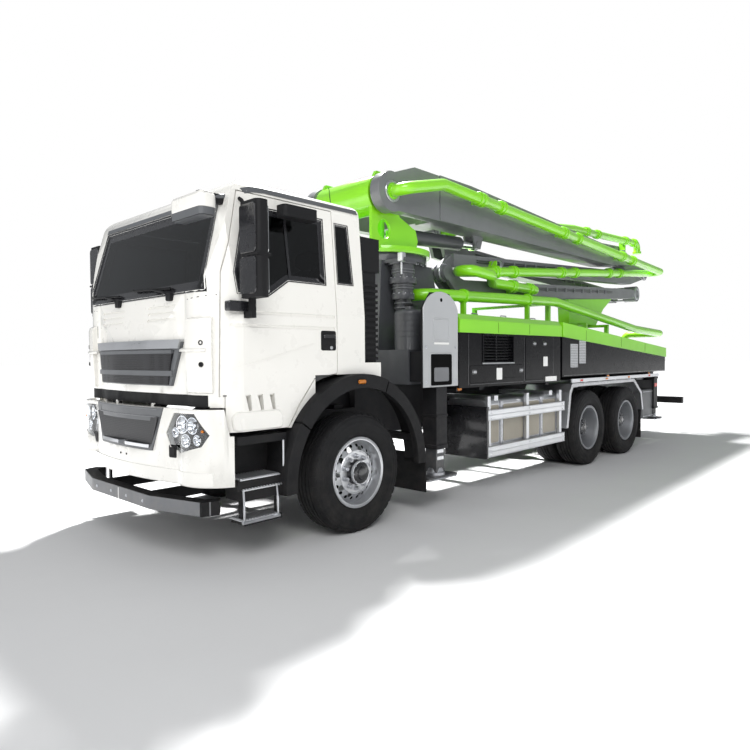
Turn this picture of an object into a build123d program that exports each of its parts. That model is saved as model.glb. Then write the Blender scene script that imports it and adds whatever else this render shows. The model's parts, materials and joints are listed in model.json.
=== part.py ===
"""Concrete pump truck: three-axle chassis, tilting cab, five-arm folding boom, pump and outriggers.

Millimetres. +X is forward, +Y the left side, +Z up, and the wheels stand on Z = 0.
Places along X are given from the front axle, and every piece is moved at the end
so that the origin lies on the ground under the middle of the truck's length.
"""

from build123d import *
from math import atan2, cos, hypot, radians, sin
import os

# Driving sizes of the chassis
WHEELBASE = 4600
TANDEM_SPACING = 1350
FRONT_OVERHANG = 1620
REAR_OVERHANG = 9504
TYRE_RADIUS = 530
TYRE_WIDTH = 315
RIM_RADIUS = 300
FRONT_TRACK = 2080
REAR_OUTER_TRACK = 2185
TWIN_SPACING = 350
RAIL_OUTER_WIDTH = 850
RAIL_HEIGHT = 300
RAIL_FLANGE = 80
RAIL_WALL = 10
RAIL_TOP = 1020
RAIL_FRONT = 1180
RAIL_REAR = -7820
SEAT_GAP = 0.3
RUNNING_GAP = 8

# Driving sizes of the cab
CAB_HALF_WIDTH = 1150
CAB_ROOF_HALF_WIDTH = 1075
CAB_FRONT = 1500
CAB_REAR = -110
CAB_BELT = 1900
CAB_ROOF = 2900
CAB_FLOOR_UNDERSIDE = 1190
CAB_FLOOR_THICKNESS = 70
CAB_WALL = 55
CAB_LOWEST = 990
CAB_ARCH_TOP = 1400
CAB_ARCH_RADIUS = 870
DOOR_GAP = 8
GLASS = 8
TILT_AXIS_X = 1460
TILT_AXIS_Z = 1165
TILT_PIN_RADIUS = 16
TILT_LUG_RADIUS = 22
TILT_LUG_Y = (298, 340)

# Driving sizes of the boom, from the turret to the tip
SLEW_X = -1550
SLEW_BASE_Z = 2700
TURRET_PLATE_OUTER = 420
TURRET_PLATE = 40
ROOT_PIN_X = -1130
ROOT_PIN_Z = 3320
ARM_1_REAR_PIN_X = -8950
ARM_1_REAR_PIN_Z = 3190
ARM_2_FRONT_PIN_X = -2350
ARM_2_FRONT_PIN_Z = 2590
ARM_3_REAR_PIN_X = -8550
ARM_3_REAR_PIN_Z = 2760
ARM_4_FRONT_PIN_X = -2850
ARM_4_FRONT_PIN_Z = 3190
ARM_5_TIP_X = -9150
ARM_5_TIP_Z = 3800
PIPE_RADIUS = 66
COUPLING_RADIUS = 84
COUPLING_LENGTH = 50
PIN_RADIUS = 50
HOLLOW_PIN_RADIUS = 92
ARM_1_LANE = (220, 600)
ROOT_CHEEK = (460, 590)
ARM_2_LANE = (240, 400)
ARM_3_LANE = (200, 430)
ARM_4_LANE = (-260, -20)
ARM_3_UNDER = ((-2620, 2280), (-8250, 2650))
ARM_GAP = 5
PIN_FIT = 0.05

# Driving sizes of the outriggers
FRONT_OUTRIGGER_X = -1090
BEAM_HEIGHT = 300
BEAM_WIDTH = 200
BEAM_UNDERSIDE = 1300
OUTRIGGER_PLATE_OUTER = 1250
JACK_TUBE = 175
JACK_LEG = 140
JACK_CLEARANCE = 0.3
FRONT_FOOT_UNDERSIDE = 320
REAR_SWING_X = -6730
REAR_SWING_Y = 700
REAR_JACK_X = -7430
REAR_JACK_Y = 1090
REAR_FOOT_UNDERSIDE = 440
REAR_ARM_Z = (860, 1120)
REAR_PIVOT_RADIUS = 60
REAR_JACK_TOP = 1168

ORIGIN_SHIFT = (REAR_OVERHANG - FRONT_OVERHANG) / 2


def box(x_low, x_high, y_low, y_high, z_low, z_high):
    """A block between three pairs of planes."""
    size = (x_high - x_low, y_high - y_low, z_high - z_low)
    centre = ((x_low + x_high) / 2, (y_low + y_high) / 2, (z_low + z_high) / 2)
    return Pos(*centre) * Box(*size)


def side_prism(outline, y_low, y_high):
    """An outline seen from the side, as points or a face, made solid from y_low to y_high."""
    face = outline if isinstance(outline, (Sketch, Face)) else make_face(Polyline(*outline, close=True))
    return extrude(Plane.XZ.offset(-y_high) * face, amount=y_high - y_low)


def front_prism(outline, x_low, x_high):
    """An outline seen from the front, made solid from x_low to x_high."""
    face = outline if isinstance(outline, (Sketch, Face)) else make_face(Polyline(*outline, close=True))
    return extrude(Plane.YZ.offset(x_low) * face, amount=x_high - x_low)


def top_prism(outline, z_low, z_high):
    """An outline seen from above, made solid from z_low to z_high."""
    face = outline if isinstance(outline, (Sketch, Face)) else make_face(Polyline(*outline, close=True))
    return extrude(Plane.XY.offset(z_low) * face, amount=z_high - z_low)


def bar_y(x, z, radius, y_low, y_high):
    """A round bar along Y."""
    return Plane.XZ.offset(-y_high) * Pos(x, z) * extrude(Circle(radius), amount=y_high - y_low)


def bar_x(y, z, radius, x_low, x_high):
    """A round bar along X."""
    return Plane.YZ.offset(x_low) * Pos(y, z) * extrude(Circle(radius), amount=x_high - x_low)


def bar_z(x, y, radius, z_low, z_high):
    """A round bar along Z."""
    return Plane.XY.offset(z_low) * Pos(x, y) * extrude(Circle(radius), amount=z_high - z_low)


def rod_between(start, end, radius):
    """A round bar from one point to another."""
    direction = Vector(*end) - Vector(*start)
    return extrude(Plane(origin=start, z_dir=direction) * Circle(radius), amount=direction.length)


def swept_pipe(points, bend, radius):
    """A solid pipe along straight runs joined by bends."""
    path = FilletPolyline(*points, radius=bend)
    section = Plane(origin=path @ 0, z_dir=path % 0) * Circle(radius)
    return sweep(section, path=path)


def along(start, end, x):
    """Height at x on the straight line from start to end, each given as (x, z)."""
    share = (x - start[0]) / (end[0] - start[0])
    return start[1] + share * (end[1] - start[1])


def other_side(shape):
    """The same shape on the right-hand side."""
    return mirror(shape, about=Plane.XZ)


def both_sides(*shapes):
    """Left-hand shapes with their right-hand twins."""
    return [*shapes, *[other_side(shape) for shape in shapes]]


def keep(name, *shapes):
    """Writes one node from one or more solids that don't touch."""
    solids = [solid for shape in shapes for solid in shape.solids()]
    placed = [Pos(ORIGIN_SHIFT, 0, 0) * solid for solid in solids]
    export_step(placed[0] if len(placed) == 1 else Compound(placed), f"parts/{name}.step")


def ring_profile(points):
    """A turned part: pairs of distance from the axle and place along it, turned about the Y axis."""
    face = make_face(Polyline(*[(along, radius) for radius, along in points], close=True))
    return revolve(Plane(origin=(0, 0, 0), x_dir=(0, 1, 0), z_dir=(1, 0, 0)) * face, Axis.Y)


# Wheels

FRONT_WHEEL_Y = FRONT_TRACK / 2
OUTER_TWIN_Y = REAR_OUTER_TRACK / 2
INNER_TWIN_Y = OUTER_TWIN_Y - TWIN_SPACING
REAR_AXLES = {"drive_1": -WHEELBASE, "drive_2": -WHEELBASE - TANDEM_SPACING}
TYRE_SHOULDER = 40
BEAD_HALF = 118
RIM_LIP = 14
RIM_FIT = 0.3


def tyre(centre_y):
    """A closed tyre body with rounded shoulders, seated on the rim's well."""
    half = TYRE_WIDTH / 2
    profile = [
        (RIM_RADIUS, centre_y - BEAD_HALF),
        (RIM_RADIUS + RIM_LIP + 2, centre_y - BEAD_HALF),
        (RIM_RADIUS + 60, centre_y - half + 8),
        (RIM_RADIUS + 120, centre_y - half),
        (TYRE_RADIUS - TYRE_SHOULDER, centre_y - half + 8),
        (TYRE_RADIUS - 6, centre_y - half + TYRE_SHOULDER),
        (TYRE_RADIUS, centre_y - half + TYRE_SHOULDER + 25),
        (TYRE_RADIUS, centre_y + half - TYRE_SHOULDER - 25),
        (TYRE_RADIUS - 6, centre_y + half - TYRE_SHOULDER),
        (TYRE_RADIUS - TYRE_SHOULDER, centre_y + half - 8),
        (RIM_RADIUS + 120, centre_y + half),
        (RIM_RADIUS + 60, centre_y + half - 8),
        (RIM_RADIUS + RIM_LIP + 2, centre_y + BEAD_HALF),
        (RIM_RADIUS, centre_y + BEAD_HALF),
    ]
    return ring_profile(profile)


HUB_RADIUS = 105
RIM_BARREL = 14
DISC_THICKNESS = 14
HAND_HOLES = 10
HAND_HOLE_RADIUS = 26
HAND_HOLE_CIRCLE = 205
NUT_CIRCLE = 142
NUT_RADIUS = 17
NUT_COUNT = 10
BEARING_BORE = 60


def rim(centre_y, disc_y, outward):
    """A rim barrel with both lips and a dished disc at disc_y, bored for the hub."""
    barrel_outer = RIM_RADIUS - RIM_FIT
    barrel = ring_profile([
        (barrel_outer - RIM_BARREL, centre_y - BEAD_HALF - RIM_LIP),
        (barrel_outer + RIM_LIP, centre_y - BEAD_HALF - RIM_LIP),
        (barrel_outer + RIM_LIP, centre_y - BEAD_HALF - 1),
        (barrel_outer, centre_y - BEAD_HALF - 1),
        (barrel_outer, centre_y + BEAD_HALF + 1),
        (barrel_outer + RIM_LIP, centre_y + BEAD_HALF + 1),
        (barrel_outer + RIM_LIP, centre_y + BEAD_HALF + RIM_LIP),
        (barrel_outer - RIM_BARREL, centre_y + BEAD_HALF + RIM_LIP),
    ])
    shoulder = disc_y - outward * 60
    disc = ring_profile([
        (BEARING_BORE + 20, disc_y),
        (NUT_CIRCLE + 40, disc_y),
        (barrel_outer - RIM_BARREL + 1, shoulder),
        (barrel_outer - RIM_BARREL + 1, shoulder - outward * DISC_THICKNESS),
        (NUT_CIRCLE + 40, disc_y - outward * DISC_THICKNESS),
        (BEARING_BORE + 20, disc_y - outward * DISC_THICKNESS),
    ])
    for number in range(HAND_HOLES):
        angle = radians(360 / HAND_HOLES * number)
        x, z = HAND_HOLE_CIRCLE * cos(angle), HAND_HOLE_CIRCLE * sin(angle)
        disc -= bar_y(x, z, HAND_HOLE_RADIUS, centre_y - 200, centre_y + 200)
    return barrel + disc


def nuts(disc_y, outward, height):
    """The ring of wheel nuts, standing on the disc."""
    low, high = sorted((disc_y, disc_y + outward * height))
    shapes = []
    for number in range(NUT_COUNT):
        angle = radians(360 / NUT_COUNT * (number + 0.5))
        shapes.append(bar_y(NUT_CIRCLE * cos(angle), NUT_CIRCLE * sin(angle), NUT_RADIUS, low - 1, high))
    return shapes


def hub(low, high, cap_outward):
    """The hub drum, hollow at its inner end for the axle stub."""
    drum = bar_y(0, 0, HUB_RADIUS, low, high)
    mouth = (low, high - 40) if cap_outward > 0 else (low + 40, high)
    return drum - bar_y(0, 0, BEARING_BORE, *mouth)


STUB_CLEARANCE = 0.05
FRONT_DISC_Y = FRONT_WHEEL_Y + 95
FRONT_HUB_LOW = FRONT_WHEEL_Y - 80
FRONT_HUB_HIGH = FRONT_WHEEL_Y + 160


def front_wheel(side):
    """Left front wheel solids at the axle: tyre and rim with its hub."""
    rubber = tyre(FRONT_WHEEL_Y)
    metal = rim(FRONT_WHEEL_Y, FRONT_DISC_Y, 1) + hub(FRONT_HUB_LOW, FRONT_HUB_HIGH, 1)
    for nut in nuts(FRONT_DISC_Y, 1, 30):
        metal += nut
    place = Pos(0, 0, TYRE_RADIUS)
    rubber, metal = place * rubber, place * metal
    if side == "right":
        rubber, metal = other_side(rubber), other_side(metal)
    keep(f"front_{side}_tyre", rubber)
    keep(f"front_{side}_rim", metal)


TWIN_DISC_Y = (OUTER_TWIN_Y + INNER_TWIN_Y) / 2
REAR_HUB_LOW = INNER_TWIN_Y - 100
REAR_HUB_HIGH = OUTER_TWIN_Y + 60


def rear_wheel(name, axle_x, side):
    """Left twin wheel solids at one axle: two tyres, and two rims back to back on one hub."""
    rubber = [tyre(OUTER_TWIN_Y), tyre(INNER_TWIN_Y)]
    outer = rim(OUTER_TWIN_Y, TWIN_DISC_Y + DISC_THICKNESS, -1)
    inner = rim(INNER_TWIN_Y, TWIN_DISC_Y - DISC_THICKNESS, 1)
    metal = outer + inner + hub(REAR_HUB_LOW, REAR_HUB_HIGH, 1)
    for nut in nuts(TWIN_DISC_Y + DISC_THICKNESS, 1, 40):
        metal += nut
    place = Pos(axle_x, 0, TYRE_RADIUS)
    rubber = [place * one for one in rubber]
    metal = place * metal
    if side == "right":
        rubber = [other_side(one) for one in rubber]
        metal = other_side(metal)
    keep(f"{name}_{side}_tyres", *rubber)
    keep(f"{name}_{side}_rims", metal)


# Axles, knuckles and frame

KINGPIN_Y = 880
KINGPIN_RADIUS = 30
KNUCKLE_HEIGHT = 150
BEAM_SECTION = 90
BEAM_DROP = 120


def knuckle(side):
    """A steering knuckle: fork round the beam's eye, with the stub that carries the hub."""
    low, high = TYRE_RADIUS - KNUCKLE_HEIGHT, TYRE_RADIUS + KNUCKLE_HEIGHT
    body = box(-60, 60, KINGPIN_Y - 60, FRONT_HUB_LOW - RUNNING_GAP, low, high)
    eye = BEAM_SECTION / 2 + RUNNING_GAP
    body -= box(-70, 70, KINGPIN_Y - 70, KINGPIN_Y + 60, TYRE_RADIUS - eye, TYRE_RADIUS + eye)
    stub_end = FRONT_HUB_HIGH - 40 - RUNNING_GAP
    body += bar_y(0, TYRE_RADIUS, BEARING_BORE - STUB_CLEARANCE, FRONT_HUB_LOW - RUNNING_GAP - 2, stub_end)
    body += bar_z(0, KINGPIN_Y, KINGPIN_RADIUS, low + 10, high - 10)
    arm = box(-200, -50, KINGPIN_Y - 50, KINGPIN_Y - 20, low, low + 30)
    body += arm
    keep(f"knuckle_{side}", body if side == "left" else other_side(body))


SPRING_Y = 460
SPRING_WIDTH = 90
SPRING_SEAT_Z = 590
REAR_SEAT_Z = 620


def axles():
    """Front beam, two drive axles with their housings, leaf springs and the drive shaft."""
    shapes = []
    low, high = TYRE_RADIUS - BEAM_SECTION / 2, TYRE_RADIUS + BEAM_SECTION / 2
    eye = bar_z(0, KINGPIN_Y, 56, low, high)
    arm = box(-40, 40, 640, KINGPIN_Y, low, high) + eye
    arm -= bar_z(0, KINGPIN_Y, KINGPIN_RADIUS + STUB_CLEARANCE, low - 1, high + 1)
    middle = box(-45, 45, -640, 640, low - BEAM_DROP, high - BEAM_DROP)
    kink = front_prism([(560, low - BEAM_DROP), (660, low), (660, high), (560, high - BEAM_DROP)], -40, 40)
    spring_low, spring_high = SPRING_Y - SPRING_WIDTH / 2, SPRING_Y + SPRING_WIDTH / 2
    seat = box(-45, 45, spring_low, spring_high, high - BEAM_DROP - 1, SPRING_SEAT_Z - SEAT_GAP)
    beam = middle + arm + kink + seat + other_side(arm) + other_side(kink) + other_side(seat)
    shapes.append(beam)
    for x in REAR_AXLES.values():
        casing = bar_y(x, TYRE_RADIUS, 85, -REAR_HUB_LOW + RUNNING_GAP, REAR_HUB_LOW - RUNNING_GAP)
        bulb = Pos(x, 0, TYRE_RADIUS) * Sphere(215)
        stub_end = REAR_HUB_HIGH - 40 - RUNNING_GAP
        stub = bar_y(x, TYRE_RADIUS, BEARING_BORE - STUB_CLEARANCE, -stub_end, stub_end)
        pad = box(x - 60, x + 60, spring_low, spring_high, TYRE_RADIUS, REAR_SEAT_Z - SEAT_GAP)
        shapes.append(casing + bulb + stub + pad + other_side(pad))
    return shapes


def springs():
    """Leaf packs over the front axle and the tandem's rocker packs, clamped up under the rails."""
    rail_under = RAIL_TOP - RAIL_HEIGHT - SEAT_GAP
    low, high = SPRING_Y - SPRING_WIDTH / 2, SPRING_Y + SPRING_WIDTH / 2
    front = side_prism(
        [(-800, 690), (-100, SPRING_SEAT_Z), (100, SPRING_SEAT_Z), (800, 690), (800, rail_under),
         (100, 650),
         (-100, 650), (-800, rail_under)], low, high)
    middle_x = -WHEELBASE - TANDEM_SPACING / 2
    reach = TANDEM_SPACING / 2 + 60
    rear = side_prism(
        [(middle_x - reach, REAR_SEAT_Z), (middle_x + reach, REAR_SEAT_Z), (middle_x + reach, 650),
         (middle_x + 150, rail_under), (middle_x - 150, rail_under), (middle_x - reach, 650)], low, high)
    return both_sides(front, rear)


CROSS_MEMBERS = (1080, -1700, -2600, -3700, -5275, -6650, -7700)
SUBFRAME_TOP = 1270
GUARD_BAR_X = -8970
SUBFRAME_FRONT = -700
BEARERS = (-1900, -3400, -5275, -7100)
BEARER_REACH = 1200


def frame():
    """Ladder frame: two channel rails, cross members and the rear guard bar."""
    outer = RAIL_OUTER_WIDTH / 2
    low = RAIL_TOP - RAIL_HEIGHT
    rail = box(RAIL_REAR, RAIL_FRONT, outer - RAIL_FLANGE, outer, low, RAIL_TOP)
    rail -= box(RAIL_REAR - 1, RAIL_FRONT + 1, outer - RAIL_FLANGE - 1, outer - RAIL_WALL,
                low + RAIL_WALL, RAIL_TOP - RAIL_WALL)
    shape = rail + other_side(rail)
    for x in CROSS_MEMBERS:
        shape += box(x - 50, x + 50, -outer + RAIL_WALL / 2, outer - RAIL_WALL / 2, low + 40, RAIL_TOP - 40)
    subframe = box(RAIL_REAR, SUBFRAME_FRONT, outer - RAIL_FLANGE, outer, RAIL_TOP, SUBFRAME_TOP)
    shape += subframe + other_side(subframe)
    for x in BEARERS:
        shape += box(x - 40, x + 40, -BEARER_REACH, BEARER_REACH, SUBFRAME_TOP - 90,
                     SUBFRAME_TOP - SEAT_GAP)
    for y in (-outer + 40, outer - 40):
        shape += box(GUARD_BAR_X, RAIL_REAR + 60, y - 40, y + 40, 620, low + 10)
    shape += box(GUARD_BAR_X, GUARD_BAR_X + 100, -1180, 1180, 620, 740)
    arm_low, arm_high = REAR_ARM_Z
    for side in (-1, 1):
        y_low, y_high = sorted((side * (outer - 1), side * (REAR_SWING_Y + 95)))
        for z in (arm_low - RUNNING_GAP - 40, arm_high + RUNNING_GAP):
            shape += box(REAR_SWING_X - 95, REAR_SWING_X + 95, y_low, y_high, z, z + 40)
        shape += bar_z(REAR_SWING_X, side * REAR_SWING_Y, REAR_PIVOT_RADIUS, arm_low - 20, arm_high + 20)
    for side in (-1, 1):
        y_low, y_high = sorted((side * (outer - RAIL_FLANGE), side * (outer - 30)))
        reach = TILT_AXIS_X + TILT_LUG_RADIUS
        shape += box(RAIL_FRONT - 150, reach, y_low, y_high, RAIL_TOP - 100, RAIL_TOP + 80)
        shape += box(reach - 2 * TILT_LUG_RADIUS, reach, y_low, y_high, RAIL_TOP + 79, TILT_AXIS_Z)
        shape += bar_y(TILT_AXIS_X, TILT_AXIS_Z, TILT_LUG_RADIUS, y_low, y_high)
        pin_low, pin_high = sorted((side * (outer - 81), side * TILT_LUG_Y[0]))
        shape += bar_y(TILT_AXIS_X, TILT_AXIS_Z, TILT_PIN_RADIUS, pin_low - 1, pin_high + 1)
        shape += box(-90, 0, y_low, y_high, RAIL_TOP - 1, CAB_FLOOR_UNDERSIDE - SEAT_GAP)
    return shape


ENGINE_LENGTH = 1500
ENGINE_WIDTH = 640


def engine():
    """Engine and gearbox as plain blocks between the rails."""
    block = box(-850, -850 + ENGINE_LENGTH, -ENGINE_WIDTH / 2, ENGINE_WIDTH / 2, RAIL_TOP - 200, 1180)
    sump = box(-500, 400, -200, 200, 640, RAIL_TOP - 199)
    gearbox = box(-1500, -849, -220, 220, 700, 1050)
    shape = block + sump + gearbox
    for x in (-500, 300):
        shape += box(x - 60, x + 60, -390, 390, RAIL_TOP + SEAT_GAP, RAIL_TOP + 40)
    return shape


# Cab

WINDSCREEN_FOOT = (1425, CAB_BELT + 165)
WINDSCREEN_HEAD = (1245, CAB_ROOF - 155)
ROOF_FRONT_X = 1050
DOOR_REAR_X = 233
DOOR_FRONT_X = 1335
DOOR_TOP = CAB_ROOF - 110


def cab_envelope(inset):
    """The cab's outer form, or the same form drawn in by a wall's thickness."""
    roof, rear, front = CAB_ROOF - inset, CAB_REAR + inset, CAB_FRONT - inset
    low = CAB_LOWEST if inset == 0 else CAB_FLOOR_UNDERSIDE + CAB_FLOOR_THICKNESS
    foot_x, foot_z = WINDSCREEN_FOOT
    head_x, head_z = WINDSCREEN_HEAD
    edge = [
        Line((rear, low), (front - 30, low)),
        Line((front - 30, low), (front, 1260)),
        Line((front, 1260), (front - 15, 1700)),
        Line((front - 15, 1700), (foot_x - inset, foot_z)),
        Line((foot_x - inset, foot_z), (head_x - inset, head_z)),
        ThreePointArc((head_x - inset, head_z), (head_x - 70 - inset, roof - 40),
                      (ROOF_FRONT_X - inset, roof)),
        Line((ROOF_FRONT_X - inset, roof), (rear + 60, roof)),
        ThreePointArc((rear + 60, roof), (rear + 18, roof - 18), (rear, roof - 60)),
        Line((rear, roof - 60), (rear, low)),
    ]
    side = side_prism(Sketch() + make_face(Curve() + edge), -CAB_HALF_WIDTH - 50, CAB_HALF_WIDTH + 50)
    wide, narrow = CAB_HALF_WIDTH - inset, CAB_ROOF_HALF_WIDTH - inset
    shoulder = roof - 110
    outline = Curve() + [
        Line((-wide, low), (wide, low)),
        Line((wide, low), (wide, CAB_BELT)),
        Line((wide, CAB_BELT), (narrow + 8, shoulder)),
        ThreePointArc((narrow + 8, shoulder), (narrow - 30, roof - 30), (narrow - 110, roof)),
        Line((narrow - 110, roof), (-narrow + 110, roof)),
        ThreePointArc((-narrow + 110, roof), (-narrow + 30, roof - 30), (-narrow - 8, shoulder)),
        Line((-narrow - 8, shoulder), (-wide, CAB_BELT)),
        Line((-wide, CAB_BELT), (-wide, low)),
    ]
    across = front_prism(Sketch() + make_face(outline), rear - 10, front + 10)
    plan_edge = Curve() + [
        Line((rear, -wide), (1180, -wide)),
        ThreePointArc((1180, -wide), (1330, -wide + 75), (front - 75, -750)),
        ThreePointArc((front - 75, -750), (front, 0), (front - 75, 750)),
        ThreePointArc((front - 75, 750), (1330, wide - 75), (1180, wide)),
        Line((1180, wide), (rear, wide)),
        Line((rear, wide), (rear, -wide)),
    ]
    plan = top_prism(Sketch() + make_face(plan_edge), low - 10, roof + 10)
    return side & across & plan


def door_outline(gap):
    """The door's edge seen from the side, grown by a gap."""
    arch_x = (CAB_ARCH_RADIUS**2 - (CAB_LOWEST - TYRE_RADIUS) ** 2) ** 0.5
    return [
        (DOOR_REAR_X - gap, CAB_ARCH_TOP + 12 - gap),
        (490 - gap, CAB_ARCH_TOP - 25 - gap),
        (arch_x - 90 - gap, CAB_LOWEST + 190 - gap),
        (arch_x + 30 - gap, CAB_LOWEST + 6 - gap),
        (1285 + gap, CAB_LOWEST + 6 - gap),
        (DOOR_FRONT_X + gap, 1270),
        (DOOR_FRONT_X - 15 + gap, CAB_BELT + 280),
        (1180 + gap, DOOR_TOP + gap),
        (DOOR_REAR_X - gap, DOOR_TOP + gap),
    ]


WINDOW_LOW = CAB_BELT + 260
WINDOW_DIP = CAB_BELT + 130
WINDOW_TOP = CAB_ROOF - 200
SCREEN_LOW = CAB_BELT + 150
SCREEN_TOP = CAB_ROOF - 185
DOOR_WINDOW = [
    (345, WINDOW_LOW),
    (740, WINDOW_LOW),
    (940, WINDOW_DIP),
    (1215, WINDOW_DIP),
    (1238, WINDOW_DIP + 150),
    (1120, WINDOW_TOP - 10),
    (345, WINDOW_TOP),
]
QUARTER_WINDOW = [(20, WINDOW_LOW + 20), (195, WINDOW_LOW + 20), (195, WINDOW_TOP - 10),
                  (50, WINDOW_TOP - 10)]
DOOR_GROOVES = ((CAB_BELT - 125, CAB_BELT - 100), (CAB_BELT - 25, CAB_BELT))
GROOVE_DEPTH = 9
SCOOPS_X = (890, 1000, 1110)
SCOOP_Z = (1150, 1270)
CORNER_REAR = -320
CORNER_Z = (1368, 1498)
CORNER_THICKNESS = 70
VENT_SLITS = (CAB_BELT - 50, CAB_BELT, CAB_BELT + 50)
WINDSCREEN = [(-985, SCREEN_LOW), (985, SCREEN_LOW), (945, SCREEN_TOP), (-945, SCREEN_TOP)]
NOSE_X = TILT_AXIS_X
NOSE_Z = CAB_FLOOR_UNDERSIDE + CAB_FLOOR_THICKNESS + 15
SIDE_CUT_LOW = 900
SIDE_CUT_HIGH = 1300


def cab():
    """The hollow cab, its doors, its glass and its grille."""
    outer = cab_envelope(0)
    inner = cab_envelope(CAB_WALL)
    under = box(CAB_REAR - 50, CAB_FRONT + 50, -1010, 1010, CAB_LOWEST - 10, CAB_FLOOR_UNDERSIDE)
    arch = bar_y(0, TYRE_RADIUS, CAB_ARCH_RADIUS, -1300, 1300)
    raised = box(CAB_REAR - 50, 480, -1300, 1300, CAB_LOWEST - 10, CAB_ARCH_TOP)
    well = box(CAB_REAR - 50, 1260, 1010, CAB_HALF_WIDTH - CAB_WALL, CAB_LOWEST - 10, CAB_FLOOR_UNDERSIDE)
    walls = outer - inner - under - arch - raised - well - other_side(well)
    sill_y = CAB_HALF_WIDTH - CAB_WALL
    sill_top = CAB_FLOOR_UNDERSIDE + CAB_FLOOR_THICKNESS
    doorway = side_prism(door_outline(DOOR_GAP), SIDE_CUT_LOW, SIDE_CUT_HIGH)
    doorway -= box(CAB_REAR, CAB_FRONT, SIDE_CUT_LOW - 10, sill_y - DOOR_GAP, CAB_LOWEST - 20, sill_top)
    left_hole = side_prism(door_outline(0), CAB_HALF_WIDTH - 160, SIDE_CUT_HIGH)
    left_hole -= box(CAB_REAR, CAB_FRONT, SIDE_CUT_LOW - 10, sill_y, CAB_LOWEST - 20, sill_top + SEAT_GAP)
    panel = walls & left_hole
    nose = box(DOOR_FRONT_X - 60, CAB_FRONT + 50, -1300, 1300, CAB_LOWEST - 10, CAB_FLOOR_UNDERSIDE - 10)
    nose += box(NOSE_X, CAB_FRONT + 50, -1300, 1300, CAB_LOWEST - 10, NOSE_Z)
    shell = walls - doorway - other_side(doorway) - nose
    quarter = side_prism(QUARTER_WINDOW, SIDE_CUT_LOW, SIDE_CUT_HIGH)
    screen = front_prism(WINDSCREEN, 1000, 1600)
    shell = shell - quarter - other_side(quarter) - screen
    window = side_prism(DOOR_WINDOW, SIDE_CUT_LOW, SIDE_CUT_HIGH)
    rim_skin = outer - cab_envelope(GROOVE_DEPTH)
    for low, high in DOOR_GROOVES:
        panel -= rim_skin & box(DOOR_REAR_X + 25, DOOR_FRONT_X - 60, SIDE_CUT_LOW, SIDE_CUT_HIGH, low, high)
    for x in SCOOPS_X:
        slot = side_prism([(x, SCOOP_Z[0]), (x + 28, SCOOP_Z[0]), (x + 58, SCOOP_Z[1]),
                           (x + 10, SCOOP_Z[1])],
                          SIDE_CUT_LOW, SIDE_CUT_HIGH)
        panel -= slot & (outer - cab_envelope(2 * GROOVE_DEPTH))
    door_frame = max((panel - window).solids(), key=lambda solid: solid.volume)
    skin = cab_envelope(12) - cab_envelope(12 + GLASS)
    glass_fit = SEAT_GAP
    screen_glass = skin & front_prism(inset_outline(WINDSCREEN, glass_fit), 1000, 1600)
    quarter_glass = skin & side_prism(inset_outline(QUARTER_WINDOW, glass_fit), SIDE_CUT_LOW, SIDE_CUT_HIGH)
    door_glass = skin & side_prism(inset_outline(DOOR_WINDOW, glass_fit), SIDE_CUT_LOW, SIDE_CUT_HIGH)
    for z in VENT_SLITS:
        for low, high in ((-640, -220), (220, 640)):
            shell -= rim_skin & box(CAB_FRONT - 150, CAB_FRONT + 50, low, high, z - 9, z + 9)
    body = max(shell.solids(), key=lambda solid: solid.volume)
    corner = box(CORNER_REAR, CAB_REAR + 1, CAB_HALF_WIDTH - CORNER_THICKNESS, CAB_HALF_WIDTH,
                 *CORNER_Z) - arch
    body = body + corner + other_side(corner)
    lug = bar_y(TILT_AXIS_X, TILT_AXIS_Z, TILT_LUG_RADIUS, *TILT_LUG_Y)
    lug += box(TILT_AXIS_X - 20, TILT_AXIS_X + 20, *TILT_LUG_Y, TILT_AXIS_Z, CAB_FLOOR_UNDERSIDE + 1)
    body = body + lug + other_side(lug)
    body -= bar_y(TILT_AXIS_X, TILT_AXIS_Z, TILT_PIN_RADIUS + PIN_FIT, -RAIL_OUTER_WIDTH / 2,
                  RAIL_OUTER_WIDTH / 2)
    keep("cab_shell", body)
    keep("door_left", door_frame)
    keep("door_right", other_side(door_frame))
    keep("door_left_glass", door_glass)
    keep("door_right_glass", other_side(door_glass))
    keep("cab_glass", screen_glass, quarter_glass, other_side(quarter_glass))


def inset_outline(points, gap):
    """A convex or nearly convex outline drawn in towards its middle by about a gap."""
    middle_u = sum(u for u, v in points) / len(points)
    middle_v = sum(v for u, v in points) / len(points)
    shifted = []
    for u, v in points:
        reach = hypot(u - middle_u, v - middle_v)
        shifted.append((u - (u - middle_u) / reach * gap * 1.6, v - (v - middle_v) / reach * gap * 1.6))
    return shifted


GRILLE_TOP = (735, 1670)
GRILLE_FOOT = (610, 1335)


def grille():
    """The dark grille: a trapezoid frame with bars, standing on the cab's front panel."""
    top_y, top_z = GRILLE_TOP
    foot_y, foot_z = GRILLE_FOOT
    outline = [(-foot_y, foot_z), (foot_y, foot_z), (top_y, top_z), (-top_y, top_z)]
    hole_1 = [(-foot_y + 20, foot_z + 40), (foot_y - 20, foot_z + 40), (foot_y + 5, foot_z + 130),
              (-foot_y - 5, foot_z + 130)]
    hole_2 = [(-foot_y - 10, foot_z + 165), (foot_y + 10, foot_z + 165), (top_y - 75, top_z - 60),
              (-top_y + 75, top_z - 60)]
    face = front_prism(outline, CAB_FRONT - 120, CAB_FRONT + 60)
    frame_shape = face - front_prism(hole_1, 1300, 1600) - front_prism(hole_2, 1300, 1600)
    for number in range(5):
        y = -480 + 240 * number
        frame_shape += box(CAB_FRONT - 90, CAB_FRONT + 20, y - 9, y + 9, foot_z + 30, top_z - 50)
    skin = cab_envelope(-26) - cab_envelope(-SEAT_GAP)
    return frame_shape & skin


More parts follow.
